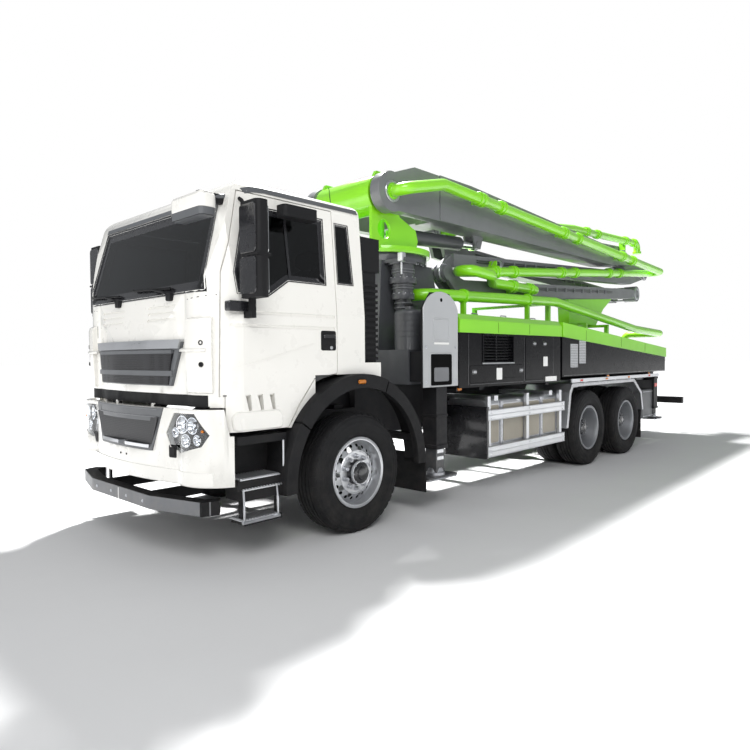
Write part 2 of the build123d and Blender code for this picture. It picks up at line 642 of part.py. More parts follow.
def cab_interior():
    """Seats, dashboard and steering wheel."""
    floor = CAB_FLOOR_UNDERSIDE + CAB_FLOOR_THICKNESS + SEAT_GAP
    shapes = []
    for y in (560, -560):
        base = box(230, 640, y - 200, y + 200, floor, floor + 300)
        cushion = box(200, 720, y - 240, y + 240, floor + 300, floor + 430)
        back = side_prism([(130, floor + 400), (250, floor + 400), (180, floor + 1080), (60, floor + 1080)],
                          y - 230, y + 230)
        shapes.append(base + cushion + back)
    dash = box(1060, 1340, -1000, 1000, floor, floor + 620)
    column = rod_between((1080, 560, floor + 480), (930, 560, floor + 640), 30)
    wheel_plane = Plane(origin=(930, 560, floor + 640), z_dir=(-150, 0, 160))
    wheel = wheel_plane * Torus(225, 16)
    spoke = wheel_plane * Box(430, 40, 14) + wheel_plane * Box(40, 430, 14)
    shapes.append(dash + column + wheel + spoke)
    return shapes


ARCH_INNER_RADIUS = 750
ARCH_REACH = 1240
ARCH_DEPTH = 260
ARCH_FRONT_SPLIT = 36
ARCH_REAR_SPLIT = 112
ARCH_SPLIT_GAP = 1.0
MIRROR_REACH = 1420


def arch_band(start_deg, end_deg, gap):
    """Part of the left front arch: a band round the wheel between two angles from the front."""
    inner, outer = ARCH_INNER_RADIUS, CAB_ARCH_RADIUS - gap
    a, b = radians(start_deg), radians(end_deg)
    middle = (a + b) / 2
    edge = Curve() + [
        Line((inner * cos(a), inner * sin(a)), (outer * cos(a), outer * sin(a))),
        ThreePointArc((outer * cos(a), outer * sin(a)), (outer * cos(middle), outer * sin(middle)),
                      (outer * cos(b), outer * sin(b))),
        Line((outer * cos(b), outer * sin(b)), (inner * cos(b), inner * sin(b))),
        ThreePointArc((inner * cos(b), inner * sin(b)), (inner * cos(middle), inner * sin(middle)),
                      (inner * cos(a), inner * sin(a))),
    ]
    lip = side_prism(Sketch() + make_face(edge), ARCH_REACH - 60, ARCH_REACH)
    edge_in = Curve() + [
        Line(((outer - 14) * cos(a), (outer - 14) * sin(a)), (outer * cos(a), outer * sin(a))),
        ThreePointArc((outer * cos(a), outer * sin(a)), (outer * cos(middle), outer * sin(middle)),
                      (outer * cos(b), outer * sin(b))),
        Line((outer * cos(b), outer * sin(b)), ((outer - 14) * cos(b), (outer - 14) * sin(b))),
        ThreePointArc(((outer - 14) * cos(b), (outer - 14) * sin(b)),
                      ((outer - 14) * cos(middle), (outer - 14) * sin(middle)),
                      ((outer - 14) * cos(a), (outer - 14) * sin(a))),
    ]
    liner = side_prism(Sketch() + make_face(edge_in), ARCH_REACH - ARCH_DEPTH, ARCH_REACH - 30)
    return Pos(0, 0, TYRE_RADIUS) * (lip + liner)


MIRROR_X = (1130, 1240)
MIRROR_Z = (CAB_BELT + 80, CAB_ROOF - 230)


def mirror_housing():
    """Left mirror: a tall housing on two arms that stand on the door's front edge."""
    inner_y = MIRROR_REACH - 230
    low_x, high_x = MIRROR_X
    head = box(low_x, high_x, inner_y, MIRROR_REACH, *MIRROR_Z)
    head = fillet(head.edges().filter_by(Axis.Z), 40)
    foot_z = CAB_BELT - 60
    arm = box(low_x + 5, low_x + 45, CAB_HALF_WIDTH + SEAT_GAP, inner_y + 60, foot_z, foot_z + 50)
    arm += box(low_x + 5, low_x + 45, inner_y + 20, inner_y + 60, foot_z, MIRROR_Z[0] + 20)
    return head + arm


KERB_MIRROR = ((560, 1180, WINDOW_TOP - 80), (900, 1300, WINDOW_TOP + 10))
FRONT_MIRROR = ((1400, 740, WINDOW_TOP - 145), (1520, 1150, WINDOW_TOP + 15))


def rounded_pod(low, high, radius):
    """A mirror pod between two corners, with soft upright edges."""
    pod = box(low[0], high[0], low[1], high[1], low[2], high[2])
    return fillet(pod.edges().filter_by(Axis.Z), radius)


def kerb_mirror():
    """Small mirror over the left door, on an arm from the door's top bar."""
    low, high = KERB_MIRROR
    arm = box(700, 745, CAB_ROOF_HALF_WIDTH - 40, low[1] + 40, high[2] - 40, high[2] + 25)
    return rounded_pod(low, high, 35) + (arm - cab_envelope(-SEAT_GAP))


def front_mirror():
    """Mirror in front of the windscreen's upper left corner, on an arm from the roof's front edge."""
    low, high = FRONT_MIRROR
    arm = box(1150, low[0] + 60, 985, 1025, high[2] - 30, high[2] + 40)
    return rounded_pod(low, high, 35) + (arm - cab_envelope(-SEAT_GAP))


INTAKE_X = (-380, -150)
INTAKE_Y = (850, 1060)


def air_intake():
    """Ribbed intake stack behind the cab, held to its rear wall by two brackets."""
    x_low, x_high = INTAKE_X
    y_low, y_high = INTAKE_Y
    shape = box(x_low + 15, x_high - 15, y_low + 15, y_high - 15, 1440, 2600)
    for number in range(15):
        z = 1470 + 52 * number
        shape += box(x_low, x_high, y_low, y_high, z, z + 26)
    shape += box(x_low - 20, x_high, y_low, y_high, 2330, 2640)
    for z in (1700, 2500):
        shape += box(x_high - 20, CAB_REAR - SEAT_GAP, y_low + 40, y_high - 40, z, z + 50)
    return shape


def cab_trim():
    """Trim that rides with the cab: the tops of the wheel arches, the intake stack and the front mirror."""
    return [*both_sides(arch_band(ARCH_FRONT_SPLIT, ARCH_REAR_SPLIT, SEAT_GAP)), air_intake(),
            front_mirror()]


# Front of the chassis

BUMPER_TOP = 1170
BUMPER_FOOT = 600
BUMPER_FRONT = 1580
BUMPER_WALL = 56
STEP_FRONT_X = 1255
LAMP_OUTLINE = [
    (610, 975),
    (700, BUMPER_TOP - 35),
    (960, BUMPER_TOP - 30),
    (1065, 985),
    (1015, 900),
    (780, 835),
    (660, 880),
]
BUMPER_DOOR_GAP = 24


def bumper_band(inset, z_low, z_high):
    """The bumper's plan form, drawn in by inset: bowed front and round corners."""
    front, wide = BUMPER_FRONT - inset, CAB_HALF_WIDTH + 20 - inset
    plan_edge = Curve() + [
        Line((1000, -wide), (1250, -wide)),
        ThreePointArc((1250, -wide), (1400, -wide + 80), (front - 85, -740)),
        ThreePointArc((front - 85, -740), (front, 0), (front - 85, 740)),
        ThreePointArc((front - 85, 740), (1400, wide - 80), (1250, wide)),
        Line((1250, wide), (1000, wide)),
        Line((1000, wide), (1000, -wide)),
    ]
    return top_prism(Sketch() + make_face(plan_edge), z_low, z_high)


def bumper():
    """Hollow bumper shell with its middle air intake and the two lamp openings."""
    shell = bumper_band(0, BUMPER_FOOT, BUMPER_TOP) - bumper_band(BUMPER_WALL, BUMPER_FOOT - 1,
                                                                  BUMPER_TOP + 1)
    shell -= box(900, STEP_FRONT_X + BUMPER_DOOR_GAP, -1300, 1300, BUMPER_FOOT - 5, BUMPER_TOP + 5)
    shell -= side_prism(door_outline(BUMPER_DOOR_GAP), -1300, 1300)
    lamp_hole = front_prism(LAMP_OUTLINE, STEP_FRONT_X, 1700)
    shell = shell - lamp_hole - other_side(lamp_hole)
    mesh_hole = front_prism([(-400, 860), (400, 860), (520, 1090), (-520, 1090)], 1300, 1700)
    shell -= mesh_hole
    shape = shell
    for number in range(9):
        y = -440 + 110 * number
        shape += box(BUMPER_FRONT - BUMPER_WALL - 18, BUMPER_FRONT - BUMPER_WALL + 10, y - 5, y + 5, 850,
                     1100)
    for side in (-1, 1):
        y = side * (RAIL_OUTER_WIDTH / 2 - 40)
        shape += box(RAIL_FRONT + SEAT_GAP, BUMPER_FRONT - BUMPER_WALL + 1, y - 40, y + 40, 740, 840)
    return shape


def lamps():
    """Headlamp units in the bumper's openings and tail lamp boxes on the rear guard bar."""
    lamp_band = bumper_band(6, BUMPER_FOOT, BUMPER_TOP) - bumper_band(BUMPER_WALL - 5, BUMPER_FOOT - 1,
                                                                      BUMPER_TOP + 1)
    head = lamp_band & front_prism(inset_outline(LAMP_OUTLINE, SEAT_GAP), STEP_FRONT_X, 1700)
    tail = box(GUARD_BAR_X - 40, GUARD_BAR_X - SEAT_GAP, 800, 1150, 625, 735)
    return both_sides(head, tail)


UNDERRUN_Z = (395, 500)
STEP_DOOR_GAP = 30


def steps():
    """Black step boxes, their bright treads, the lower arch parts with flaps and the front underrun bar."""
    left = box(800, STEP_FRONT_X, 800, 1165, 560, CAB_LOWEST - STEP_DOOR_GAP)
    left -= box(830, 1300, 950, 1200, 640, 900)
    left += box(840, 1230, 960, 1175, 480, 562)
    left += box(860, 880, 1100, 1140, 330, 482) + box(1190, 1210, 1100, 1140, 330, 482)
    left += box(860, 1210, 1000, 1180, 300, 335)
    left += box(700, STEP_FRONT_X, RAIL_OUTER_WIDTH / 2 + SEAT_GAP, 802, 760, 860)
    left += arch_band(-4, ARCH_FRONT_SPLIT - ARCH_SPLIT_GAP, DOOR_GAP)
    rear = arch_band(ARCH_REAR_SPLIT + ARCH_SPLIT_GAP, 181, DOOR_GAP)
    rear += box(-870, -740, RAIL_OUTER_WIDTH / 2 + SEAT_GAP, 1180, 735, 795)
    rear += box(-870, -856, 820, ARCH_REACH, 220, 600)
    bar_outer = top_prism([(FRONT_OVERHANG, -520), (FRONT_OVERHANG, 520), (1480, 1040), (1360, 1080),
                           (1300, 1000), (1400, 940), (1520, 500), (1520, -500), (1400, -940),
                           (1300, -1000), (1360, -1080), (1480, -1040)], *UNDERRUN_Z)
    for side in (-1, 1):
        y = side * (RAIL_OUTER_WIDTH / 2 - 40)
        bar_outer += box(1130, 1540, y - 30, y + 30, UNDERRUN_Z[0] + 20, UNDERRUN_Z[1])
        bar_outer += box(1090, 1150, y - 30, y + 30, UNDERRUN_Z[0] + 20, RAIL_TOP - RAIL_HEIGHT - SEAT_GAP)
    return [left, other_side(left), rear, other_side(rear), bar_outer]


# Deck: pedestal, covers, side boxes, guards and fenders

CASING_HALF_LENGTH = 1030
BEAM_SPACING = 230
BEAM_CLEARANCE = 0.3
LEFT_BEAM_X = FRONT_OUTRIGGER_X + BEAM_SPACING / 2
RIGHT_BEAM_X = FRONT_OUTRIGGER_X - BEAM_SPACING / 2
PEDESTAL_REAR = -2200
RING_RADIUS = 560
RING_HEIGHT = 90


def pedestal():
    """Turret base: outrigger casing across the frame, tapered column, slewing ring and its drive."""
    beam_low, beam_high = BEAM_UNDERSIDE - BEAM_CLEARANCE, BEAM_UNDERSIDE + BEAM_HEIGHT + BEAM_CLEARANCE
    casing_low, casing_high = SUBFRAME_TOP + SEAT_GAP, beam_high + 20
    casing_front = LEFT_BEAM_X + BEAM_WIDTH / 2 + BEAM_CLEARANCE + 20
    casing_rear = RIGHT_BEAM_X - BEAM_WIDTH / 2 - BEAM_CLEARANCE - 20
    shape = box(casing_rear, casing_front, -CASING_HALF_LENGTH, CASING_HALF_LENGTH, casing_low, casing_high)
    shape += box(PEDESTAL_REAR, casing_rear + 1, -520, 520, casing_low, casing_high)
    column = front_prism([(-520, casing_high - 1), (520, casing_high - 1), (430, SLEW_BASE_Z - RING_HEIGHT),
                          (-430, SLEW_BASE_Z - RING_HEIGHT)], PEDESTAL_REAR, -960)
    column &= side_prism([(PEDESTAL_REAR, casing_high - 1), (-960, casing_high - 1),
                          (-1120, SLEW_BASE_Z - RING_HEIGHT),
                          (-2000, SLEW_BASE_Z - RING_HEIGHT)], -700, 700)
    shape += column
    shape += bar_z(SLEW_X, 0, RING_RADIUS, SLEW_BASE_Z - RING_HEIGHT - 1, SLEW_BASE_Z - SEAT_GAP)
    for x in (LEFT_BEAM_X, RIGHT_BEAM_X):
        half = BEAM_WIDTH / 2 + BEAM_CLEARANCE
        shape -= box(x - half, x + half, -CASING_HALF_LENGTH - 1, CASING_HALF_LENGTH + 1, beam_low,
                     beam_high)
    shape += slew_drive() + oil_drum(casing_high - 1)
    shape += box(OUTLET_BLOCK_X - 110, OUTLET_BLOCK_X + 110, 400, OUTLET_BLOCK_Y, DECK_PIPE_Z - 110,
                 DECK_PIPE_Z + 110)
    return shape


OUTLET_BLOCK_X = -1500
OUTLET_BLOCK_Y = 560
DECK_PIPE_Z = 2240
DRIVE_X = -1280
DRIVE_Y = 600
DRIVE_STAGES = (
    # radius, underside, top
    (156, 2545, 2575),
    (120, 2400, 2546),
    (148, 2340, 2401),
    (112, 2230, 2341),
    (126, 2170, 2231),
    (85, 2040, 2171),
    (60, 1920, 2041),
)
DRUM_X = -1110
DRUM_Y = 830
DRUM_TANK_RADIUS = 155
DRUM_TANK_TOP = 2040


def slew_drive():
    """The slewing gearbox: a stack of flanges on a bracket beside the ring."""
    shape = box(DRIVE_X - 140, DRIVE_X + 130, 380, DRIVE_Y + 150, SLEW_BASE_Z - 130, SLEW_BASE_Z - 95)
    for radius, low, high in DRIVE_STAGES:
        shape += bar_z(DRIVE_X, DRIVE_Y, radius, low, high)
    return shape


def oil_drum(seat_z):
    """Upright round tank on the outrigger casing, with a domed top and a filler neck."""
    tank = bar_z(DRUM_X, DRUM_Y, DRUM_TANK_RADIUS, seat_z, DRUM_TANK_TOP)
    tank = fillet(tank.edges().group_by(Axis.Z)[-1], 45)
    return tank + bar_z(DRUM_X, DRUM_Y, 42, DRUM_TANK_TOP - 5, DRUM_TANK_TOP + 35)


COVER_REACH = 1250
COVER_INNER = 600
FRONT_BOX_X = (-3710, -1420)
REAR_BOX_X = (-7740, -3745)
COVER_TOP = 2000
COVER_BAND = 200
REAR_COVER_TOP = 1680
REAR_COVER_BAND = 160
BOX_UNDERSIDE = 1215


REST_X = -4500
REST_POST = 60
REST_POST_Y = 640
REST_BAR_Z = 2290
REST_GAP = 6
CRADLE_X = (-7385, -5640)
CRADLE_FOOT_X = (-6700, -5670)
CRADLE_LEGS_X = (-6600, -5760)
CRADLE_FOOT_Z = 2080


def deck_covers():
    """Green lids of the side boxes, with the green boom rest between them."""
    low_x, high_x = FRONT_BOX_X
    edge = [(COVER_INNER, COVER_TOP - COVER_BAND), (COVER_REACH, COVER_TOP - COVER_BAND),
            (COVER_REACH, COVER_TOP - 60), (COVER_REACH - 60, COVER_TOP), (COVER_INNER, COVER_TOP)]
    front_lid = front_prism(edge, low_x, high_x)
    rear_x, front_x = REAR_BOX_X
    lid = side_prism([(front_x, COVER_TOP - COVER_BAND), (front_x, COVER_TOP - 10),
                      (rear_x, REAR_COVER_TOP),
                      (rear_x, REAR_COVER_TOP - REAR_COVER_BAND)], COVER_INNER, COVER_REACH)
    left, right = REST_POST_Y - REST_POST / 2, REST_POST_Y + REST_POST / 2
    lid_top = along((front_x, COVER_TOP - 10), (rear_x, REAR_COVER_TOP), REST_X)
    post = box(REST_X - REST_POST / 2, REST_X + REST_POST / 2, left, right, lid_top - 20, REST_BAR_Z)
    bar = box(REST_X - REST_POST / 2, REST_X + REST_POST / 2, -right, right, REST_BAR_Z - 1,
              REST_BAR_Z + 40)
    arm_under = along(ARM_3_UNDER[0], ARM_3_UNDER[1], REST_X)
    pad = side_prism([(REST_X - REST_POST / 2, REST_BAR_Z + 39), (REST_X + REST_POST / 2, REST_BAR_Z + 39),
                      (REST_X + REST_POST / 2, arm_under - REST_GAP - 3),
                      (REST_X - REST_POST / 2, arm_under - REST_GAP)],
                     *ARM_3_LANE)
    rear_lids = lid + other_side(lid) + post + other_side(post) + bar + pad
    cradle_rear, cradle_front = CRADLE_X
    under_rear = along(*ARM_3_UNDER, cradle_rear) - REST_GAP
    under_front = along(*ARM_3_UNDER, cradle_front) - REST_GAP
    cradle = side_prism([(CRADLE_FOOT_X[1], CRADLE_FOOT_Z), (cradle_front, under_front),
                         (cradle_rear, under_rear),
                         (cradle_rear + 380, under_rear - 210), (CRADLE_FOOT_X[0], CRADLE_FOOT_Z)],
                        ARM_3_LANE[0] + 20, ARM_3_LANE[1] - 20)
    rear_lids += cradle
    for x in CRADLE_LEGS_X:
        lid_top = along((front_x, COVER_TOP - 10), (rear_x, REAR_COVER_TOP), x)
        leg = box(x - REST_POST / 2, x + REST_POST / 2, left, right, lid_top - 20, CRADLE_FOOT_Z)
        beam = box(x - REST_POST / 2, x + REST_POST / 2, -right, right, CRADLE_FOOT_Z - 45,
                   CRADLE_FOOT_Z + 1)
        rear_lids += leg + other_side(leg) + beam
    return [*both_sides(front_lid), rear_lids]


LOUVRE_X = (-2507, -1887)
LOUVRE_Z = (1481, 1775)
LOUVRE_SLATS = 9
LOUVRE_DEPTH = 28


def side_panels():
    """Black side boxes under the lids, seated on the bearers."""
    low_x, high_x = FRONT_BOX_X
    underside = SUBFRAME_TOP
    face = COVER_REACH - 15
    front_box = box(low_x + 10, high_x - 10, COVER_INNER + 20, face, underside,
                    COVER_TOP - COVER_BAND - SEAT_GAP)
    louvre_rear, louvre_front = LOUVRE_X
    louvre_low, louvre_high = LOUVRE_Z
    front_box -= box(louvre_rear, louvre_front, face - LOUVRE_DEPTH, face + 1, louvre_low, louvre_high)
    for number in range(LOUVRE_SLATS):
        z = louvre_low + (louvre_high - louvre_low) * number / LOUVRE_SLATS
        front_box += front_prism([(face - LOUVRE_DEPTH - 1, z + 22), (face - 2, z + 4), (face - 2, z + 9),
                                  (face - LOUVRE_DEPTH - 1, z + 28)], louvre_rear - 1, louvre_front + 1)
    skirt = box(low_x + 10, high_x - 10, BEARER_REACH + SEAT_GAP, COVER_REACH - 15, BOX_UNDERSIDE,
                underside + 1)
    rear_x, front_x = REAR_BOX_X
    lid_low = [(front_x, COVER_TOP - COVER_BAND - SEAT_GAP),
               (rear_x, REAR_COVER_TOP - REAR_COVER_BAND - SEAT_GAP)]
    rear_box = side_prism([(front_x - 10, underside), (rear_x + 10, underside),
                           (rear_x + 10, along(*lid_low, rear_x + 10)),
                           (front_x - 10, along(*lid_low,
                                                front_x - 10))], COVER_INNER + 20, COVER_REACH - 15)
    return both_sides(front_box + skirt, rear_box)


GUARD_X = (-3800, -1970)
GUARD_RAILS = ((420, 540), (830, 950))
TANK_X = (-3740, -2030)


def side_guards():
    """Aluminium side guard rails on posts, with the tanks behind them."""
    rear_x, front_x = GUARD_X
    shape = None
    for low, high in GUARD_RAILS:
        rail = box(rear_x, front_x, 1215, 1245, low, high)
        shape = rail if shape is None else shape + rail
    for x in (rear_x + 60, (rear_x + front_x) / 2, front_x - 60):
        shape += box(x - 30, x + 30, 1180, 1216, GUARD_RAILS[0][0], 1100)
    tank = box(*TANK_X, 640, 1160, 470, 1060)
    tank = fillet(tank.edges().filter_by(Axis.X), 70)
    shape += tank
    for x in (TANK_X[0] + 200, TANK_X[1] - 200):
        shape += box(x - 40, x + 40, RAIL_OUTER_WIDTH / 2 + SEAT_GAP, 1181, 1040, 1100)
        shape += box(x - 40, x + 40, 1150, 1216, 840, 940)
    return both_sides(shape)


FENDER_TOP = 1170
FENDER_PLATE = 12
FENDER_RAIL_X = (-7360, -3995)
FENDER_RAIL_Z = (1185, 1235)
FENDER_RAIL = 14
FENDER_BRACKETS = (-6100, -5500, -4900, -4450)


def rear_fenders():
    """Bent plate fenders over the tandem, hung from the bearers."""
    front, rear = -3860, -6650
    outer_line = [(front, 580), (front - 90, 1060), (front - 170, FENDER_TOP), (-6250, FENDER_TOP),
                  (rear + 80, 950),
                  (rear, 650)]
    t = FENDER_PLATE
    inner_line = [(front - t, 580), (front - 90 - t, 1056), (front - 176, FENDER_TOP - t),
                  (-6245, FENDER_TOP - t),
                  (rear + 80 + t, 945), (rear + t, 650)]
    sheet = side_prism(outer_line + inner_line[::-1], 570, COVER_REACH - 10)
    hanger = box(-5315, -5235, 700, 1100, FENDER_TOP - 1, SUBFRAME_TOP - 90 - SEAT_GAP)
    rail = box(*FENDER_RAIL_X, COVER_REACH - FENDER_RAIL, COVER_REACH, *FENDER_RAIL_Z)
    for x in FENDER_BRACKETS:
        rail += box(x - 25, x + 25, COVER_REACH - 60, COVER_REACH - FENDER_RAIL + 1, FENDER_TOP - 1,
                    FENDER_RAIL_Z[1] - 10)
    return both_sides(sheet + hanger + rail)


# Pump, hopper and delivery line

HOPPER_X = (-8820, -7880)
HOPPER_HALF = 680
HOPPER_RIM = 1500
HOPPER_FOOT = 760
HOPPER_WALL = 14
AGITATOR_Z = 1080
AGITATOR_RADIUS = 40
CYLINDER_Y = 170
CYLINDER_Z = 1080
CYLINDER_RADIUS = 92
DRIVE_CYLINDER_RADIUS = 62
DRIVE_CYLINDER_END_X = -5000
WATER_BOX_X = (-6500, -6800)


def pump_unit():
    """The open hopper on its feet, and the water box and pumping cylinders in front of it."""
    rear_x, front_x = HOPPER_X
    outline = [(front_x, HOPPER_RIM), (rear_x, HOPPER_RIM), (rear_x + 60, 1120),
               (rear_x + 300, HOPPER_FOOT),
               (front_x - 60, HOPPER_FOOT), (front_x, 1000)]
    w = HOPPER_WALL
    inside = [(front_x - w, HOPPER_RIM + 1), (rear_x + w, HOPPER_RIM + 1), (rear_x + 60 + w, 1120 + w / 2),
              (rear_x + 300 + w / 2, HOPPER_FOOT + w), (front_x - 60 - w / 2,
                                                        HOPPER_FOOT + w), (front_x - w, 1000)]
    shape = side_prism(outline, -HOPPER_HALF, HOPPER_HALF) - side_prism(inside, -HOPPER_HALF + w,
                                                                        HOPPER_HALF - w)
    middle_x = (rear_x + front_x) / 2
    shape -= bar_y(middle_x, AGITATOR_Z, AGITATOR_RADIUS + PIN_FIT, -HOPPER_HALF - 5, HOPPER_HALF + 5)
    bar_top = RAIL_TOP - RAIL_HEIGHT + 10
    for side in (-1, 1):
        shape += bar_x(side * CYLINDER_Y, CYLINDER_Z, CYLINDER_RADIUS, front_x - 1, WATER_BOX_X[1] + 1)
        shape += bar_x(side * CYLINDER_Y, CYLINDER_Z, DRIVE_CYLINDER_RADIUS, WATER_BOX_X[0] - 1,
                       DRIVE_CYLINDER_END_X)
        y = side * (RAIL_OUTER_WIDTH / 2 - 40)
        shape += box(rear_x + 320, front_x - 80, y - 35, y + 35, bar_top + SEAT_GAP, HOPPER_FOOT + 1)
        low, high = sorted((side * (GRATE_HALF + RUNNING_GAP), side * (HOPPER_HALF + 10)))
        lug = box(front_x - 30, front_x + 30, low, high, HOPPER_RIM - 30, GRATE_HINGE_Z + 25)
        shape += lug - bar_y(front_x, GRATE_HINGE_Z, GRATE_HINGE_RADIUS + PIN_FIT, low - 1, high + 1)
    cross_top = RAIL_TOP - 40
    shape += box(WATER_BOX_X[1], WATER_BOX_X[0], -330, 330, cross_top + SEAT_GAP,
                 SUBFRAME_TOP - 90 - RUNNING_GAP)
    return shape


def agitator():
    """Agitator: a shaft through the hopper's side walls with six paddles."""
    middle_x = sum(HOPPER_X) / 2
    shape = bar_y(middle_x, AGITATOR_Z, AGITATOR_RADIUS, -HOPPER_HALF - 60, HOPPER_HALF + 60)
    for number, y in enumerate((-520, -330, -140, 140, 330, 520)):
        reach = 230 if number % 2 == 0 else -230
        low, high = sorted((AGITATOR_Z, AGITATOR_Z + reach))
        shape += box(middle_x - 8, middle_x + 8, y - 35, y + 35, low, high)
    return shape


GRATE_HALF = HOPPER_HALF - 20
GRATE_Z = (HOPPER_RIM + SEAT_GAP, HOPPER_RIM + 40)
GRATE_BARS = 11
GRATE_PITCH = 110
GRATE_HINGE_RADIUS = 19
GRATE_HINGE_Z = HOPPER_RIM + 20


def hopper_grate():
    """Hinged bar grate on the hopper's rim."""
    rear_x, front_x = HOPPER_X
    low, high = GRATE_Z
    shape = box(rear_x, front_x, -GRATE_HALF, GRATE_HALF, low, high)
    shape -= box(rear_x + 30, front_x - 30, -GRATE_HALF + 30, GRATE_HALF - 30, low - 1, high + 1)
    for number in range(GRATE_BARS):
        y = GRATE_PITCH * (number - (GRATE_BARS - 1) / 2)
        shape += box(rear_x + 20, front_x - 20, y - 6, y + 6, low, high)
    shape += bar_y(front_x, GRATE_HINGE_Z, GRATE_HINGE_RADIUS, -HOPPER_HALF - 16, HOPPER_HALF + 16)
    return shape


DECK_PIPE_Y = 750
HOPPER_OUTLET_Z = 980
OUTLET_X = -9000


def coupling(point, direction):
    """A clamp ring round a pipe."""
    plane = Plane(origin=point, z_dir=direction)
    return extrude(plane * Circle(COUPLING_RADIUS), amount=COUPLING_LENGTH / 2, both=True)


def deck_pipe():
    """Delivery line from the hopper's outlet over the deck to the turret's column."""
    points = [(OUTLET_BLOCK_X, OUTLET_BLOCK_Y + SEAT_GAP, DECK_PIPE_Z),
              (OUTLET_BLOCK_X, DECK_PIPE_Y, DECK_PIPE_Z), (-4500, DECK_PIPE_Y, 2335),
              (-7600, DECK_PIPE_Y, 2030), (OUTLET_X, DECK_PIPE_Y, 1980), (OUTLET_X, 0, 1980),
              (OUTLET_X, 0, HOPPER_OUTLET_Z), (HOPPER_X[0] - SEAT_GAP, 0, HOPPER_OUTLET_Z)]
    shape = swept_pipe(points, [180, 200, 200, 150, 150, 150], PIPE_RADIUS)
    for x, z in ((-2200, 2263), (-3700, 2310)):
        shape += coupling((x, DECK_PIPE_Y, z), (-1, 0, 0.03))
        shape += box(x - 20, x + 20, DECK_PIPE_Y - 30, DECK_PIPE_Y + 30, COVER_TOP + SEAT_GAP, z)
    return shape


# Turret and boom

DRUM_RADIUS = 205
LIFT_BASE = (-1530, 2950)
LIFT_EYE = (-3100, 3030)
LIFT_Y = 280
LIFT_PIN = 35
LIFT_ROD_RADIUS = 50
LIFT_EYE_HALF = LIFT_ROD_RADIUS
LIFT_LUG_GAP = 5
LIFT_LUG = 26


def turret():
    """Slewing turret: base disc, two side plates with a window, drum round the root pin, inner pipe."""
    shape = bar_z(SLEW_X, 0, RING_RADIUS + 40, SLEW_BASE_Z, SLEW_BASE_Z + 70)
    outline = [(-985, 2740), (-985, 3420), (-1060, 3560), (-1250, 3560), (-1380, 3380), (-1440, 3120),
               (-1720, 3010), (-1760, 2890), (-1720, 2740)]
    plate = side_prism(outline, TURRET_PLATE_OUTER - TURRET_PLATE, TURRET_PLATE_OUTER)
    plate -= bar_y(-1180, 2950, 105, 300, 500)
    shape += plate + other_side(plate)
    shape += box(-1020, -985, -TURRET_PLATE_OUTER + 1, TURRET_PLATE_OUTER - 1, 2740, 2820)
    shape += bar_y(ROOT_PIN_X, ROOT_PIN_Z, DRUM_RADIUS, -TURRET_PLATE_OUTER + 1, TURRET_PLATE_OUTER - 1)
    shape += bar_y(ROOT_PIN_X, ROOT_PIN_Z, ROOT_TUBE_RADIUS, -TURRET_PLATE_OUTER - 180,
                   TURRET_PLATE_OUTER + 180)
    pipe = swept_pipe([(SLEW_X, 0, SLEW_BASE_Z + 60), (SLEW_X, 0, ROOT_PIN_Z),
                       (ROOT_PIN_X - 150, 0, ROOT_PIN_Z)],
                      [150], PIPE_RADIUS)
    shape += pipe
    x, z = LIFT_BASE
    for y in (LIFT_Y - 95, LIFT_Y + 75):
        shape += box(x - 70, x + 70, y, y + 20, SLEW_BASE_Z + 60, z + 60)
    shape += bar_y(x, z, LIFT_PIN, LIFT_Y - 95, TURRET_PLATE_OUTER - 1)
    return shape


ROOT_TUBE_RADIUS = 90
ROOT_PIPE_Y = 602
SWIVEL_GAP = 1
ROOT_BORE = ROOT_TUBE_RADIUS + PIN_FIT
ROOT_LUG = 215
YOKE_RADIUS = 150
PIN_CAP_Y = ARM_4_LANE[0] - ARM_GAP - 22


def arm_1():
    """First arm: root fork round the turret, deep tapered box and rear fork for the second arm."""
    pin_x, pin_z = ROOT_PIN_X, ROOT_PIN_Z
    rear_x, rear_z = ARM_1_REAR_PIN_X, ARM_1_REAR_PIN_Z
    main = side_prism([(-1960, 3140), (-1960, 3660), (-2600, 3660), (-4420, 3570), (-7950, 3395),
                       (-7950, 3240),
                       (-6900, 3140)], *ARM_1_LANE)
    cheek = side_prism([(pin_x, pin_z - ROOT_LUG + 20), (pin_x, 3520), (-1500, 3655), (-2400, 3655),
                        (-2400, 3140)],
                       *ROOT_CHEEK) + bar_y(pin_x, pin_z, ROOT_LUG, *ROOT_CHEEK)
    cross = box(-2400, -1960, -ROOT_CHEEK[1], ROOT_CHEEK[1], 3160, 3640)
    shape = main + cheek + other_side(cheek) + cross
    shape -= bar_y(pin_x, pin_z, ROOT_BORE, -700, 700)
    for low, high in ((ARM_2_LANE[0] - 38, ARM_2_LANE[0] - 4), (ARM_2_LANE[1] + 4, ARM_2_LANE[1] + 38)):
        fork = side_prism([(-7800, 3225), (-7800, 3400), (rear_x, rear_z + 130), (rear_x, rear_z - 130)],
                          low, high)
        shape += fork + bar_y(rear_x, rear_z, 130, low, high)
    shape += bar_y(rear_x, rear_z, PIN_RADIUS, ARM_2_LANE[0] - 38, ARM_2_LANE[1] + 38)
    x, z = LIFT_EYE
    inner, outer = LIFT_EYE_HALF + LIFT_LUG_GAP, LIFT_EYE_HALF + LIFT_LUG_GAP + LIFT_LUG
    for side in (-1, 1):
        low, high = sorted((LIFT_Y + side * inner, LIFT_Y + side * outer))
        shape += side_prism([(x - 120, 3141), (x + 120, 3141), (x + 55, z - 50), (x - 55, z - 50)], low,
                            high)
        low, high = sorted((LIFT_Y + side * (inner + 1), LIFT_Y + side * (outer + 10)))
        shape += bar_y(x, z, LIFT_PIN + 12, low, high)
    return shape


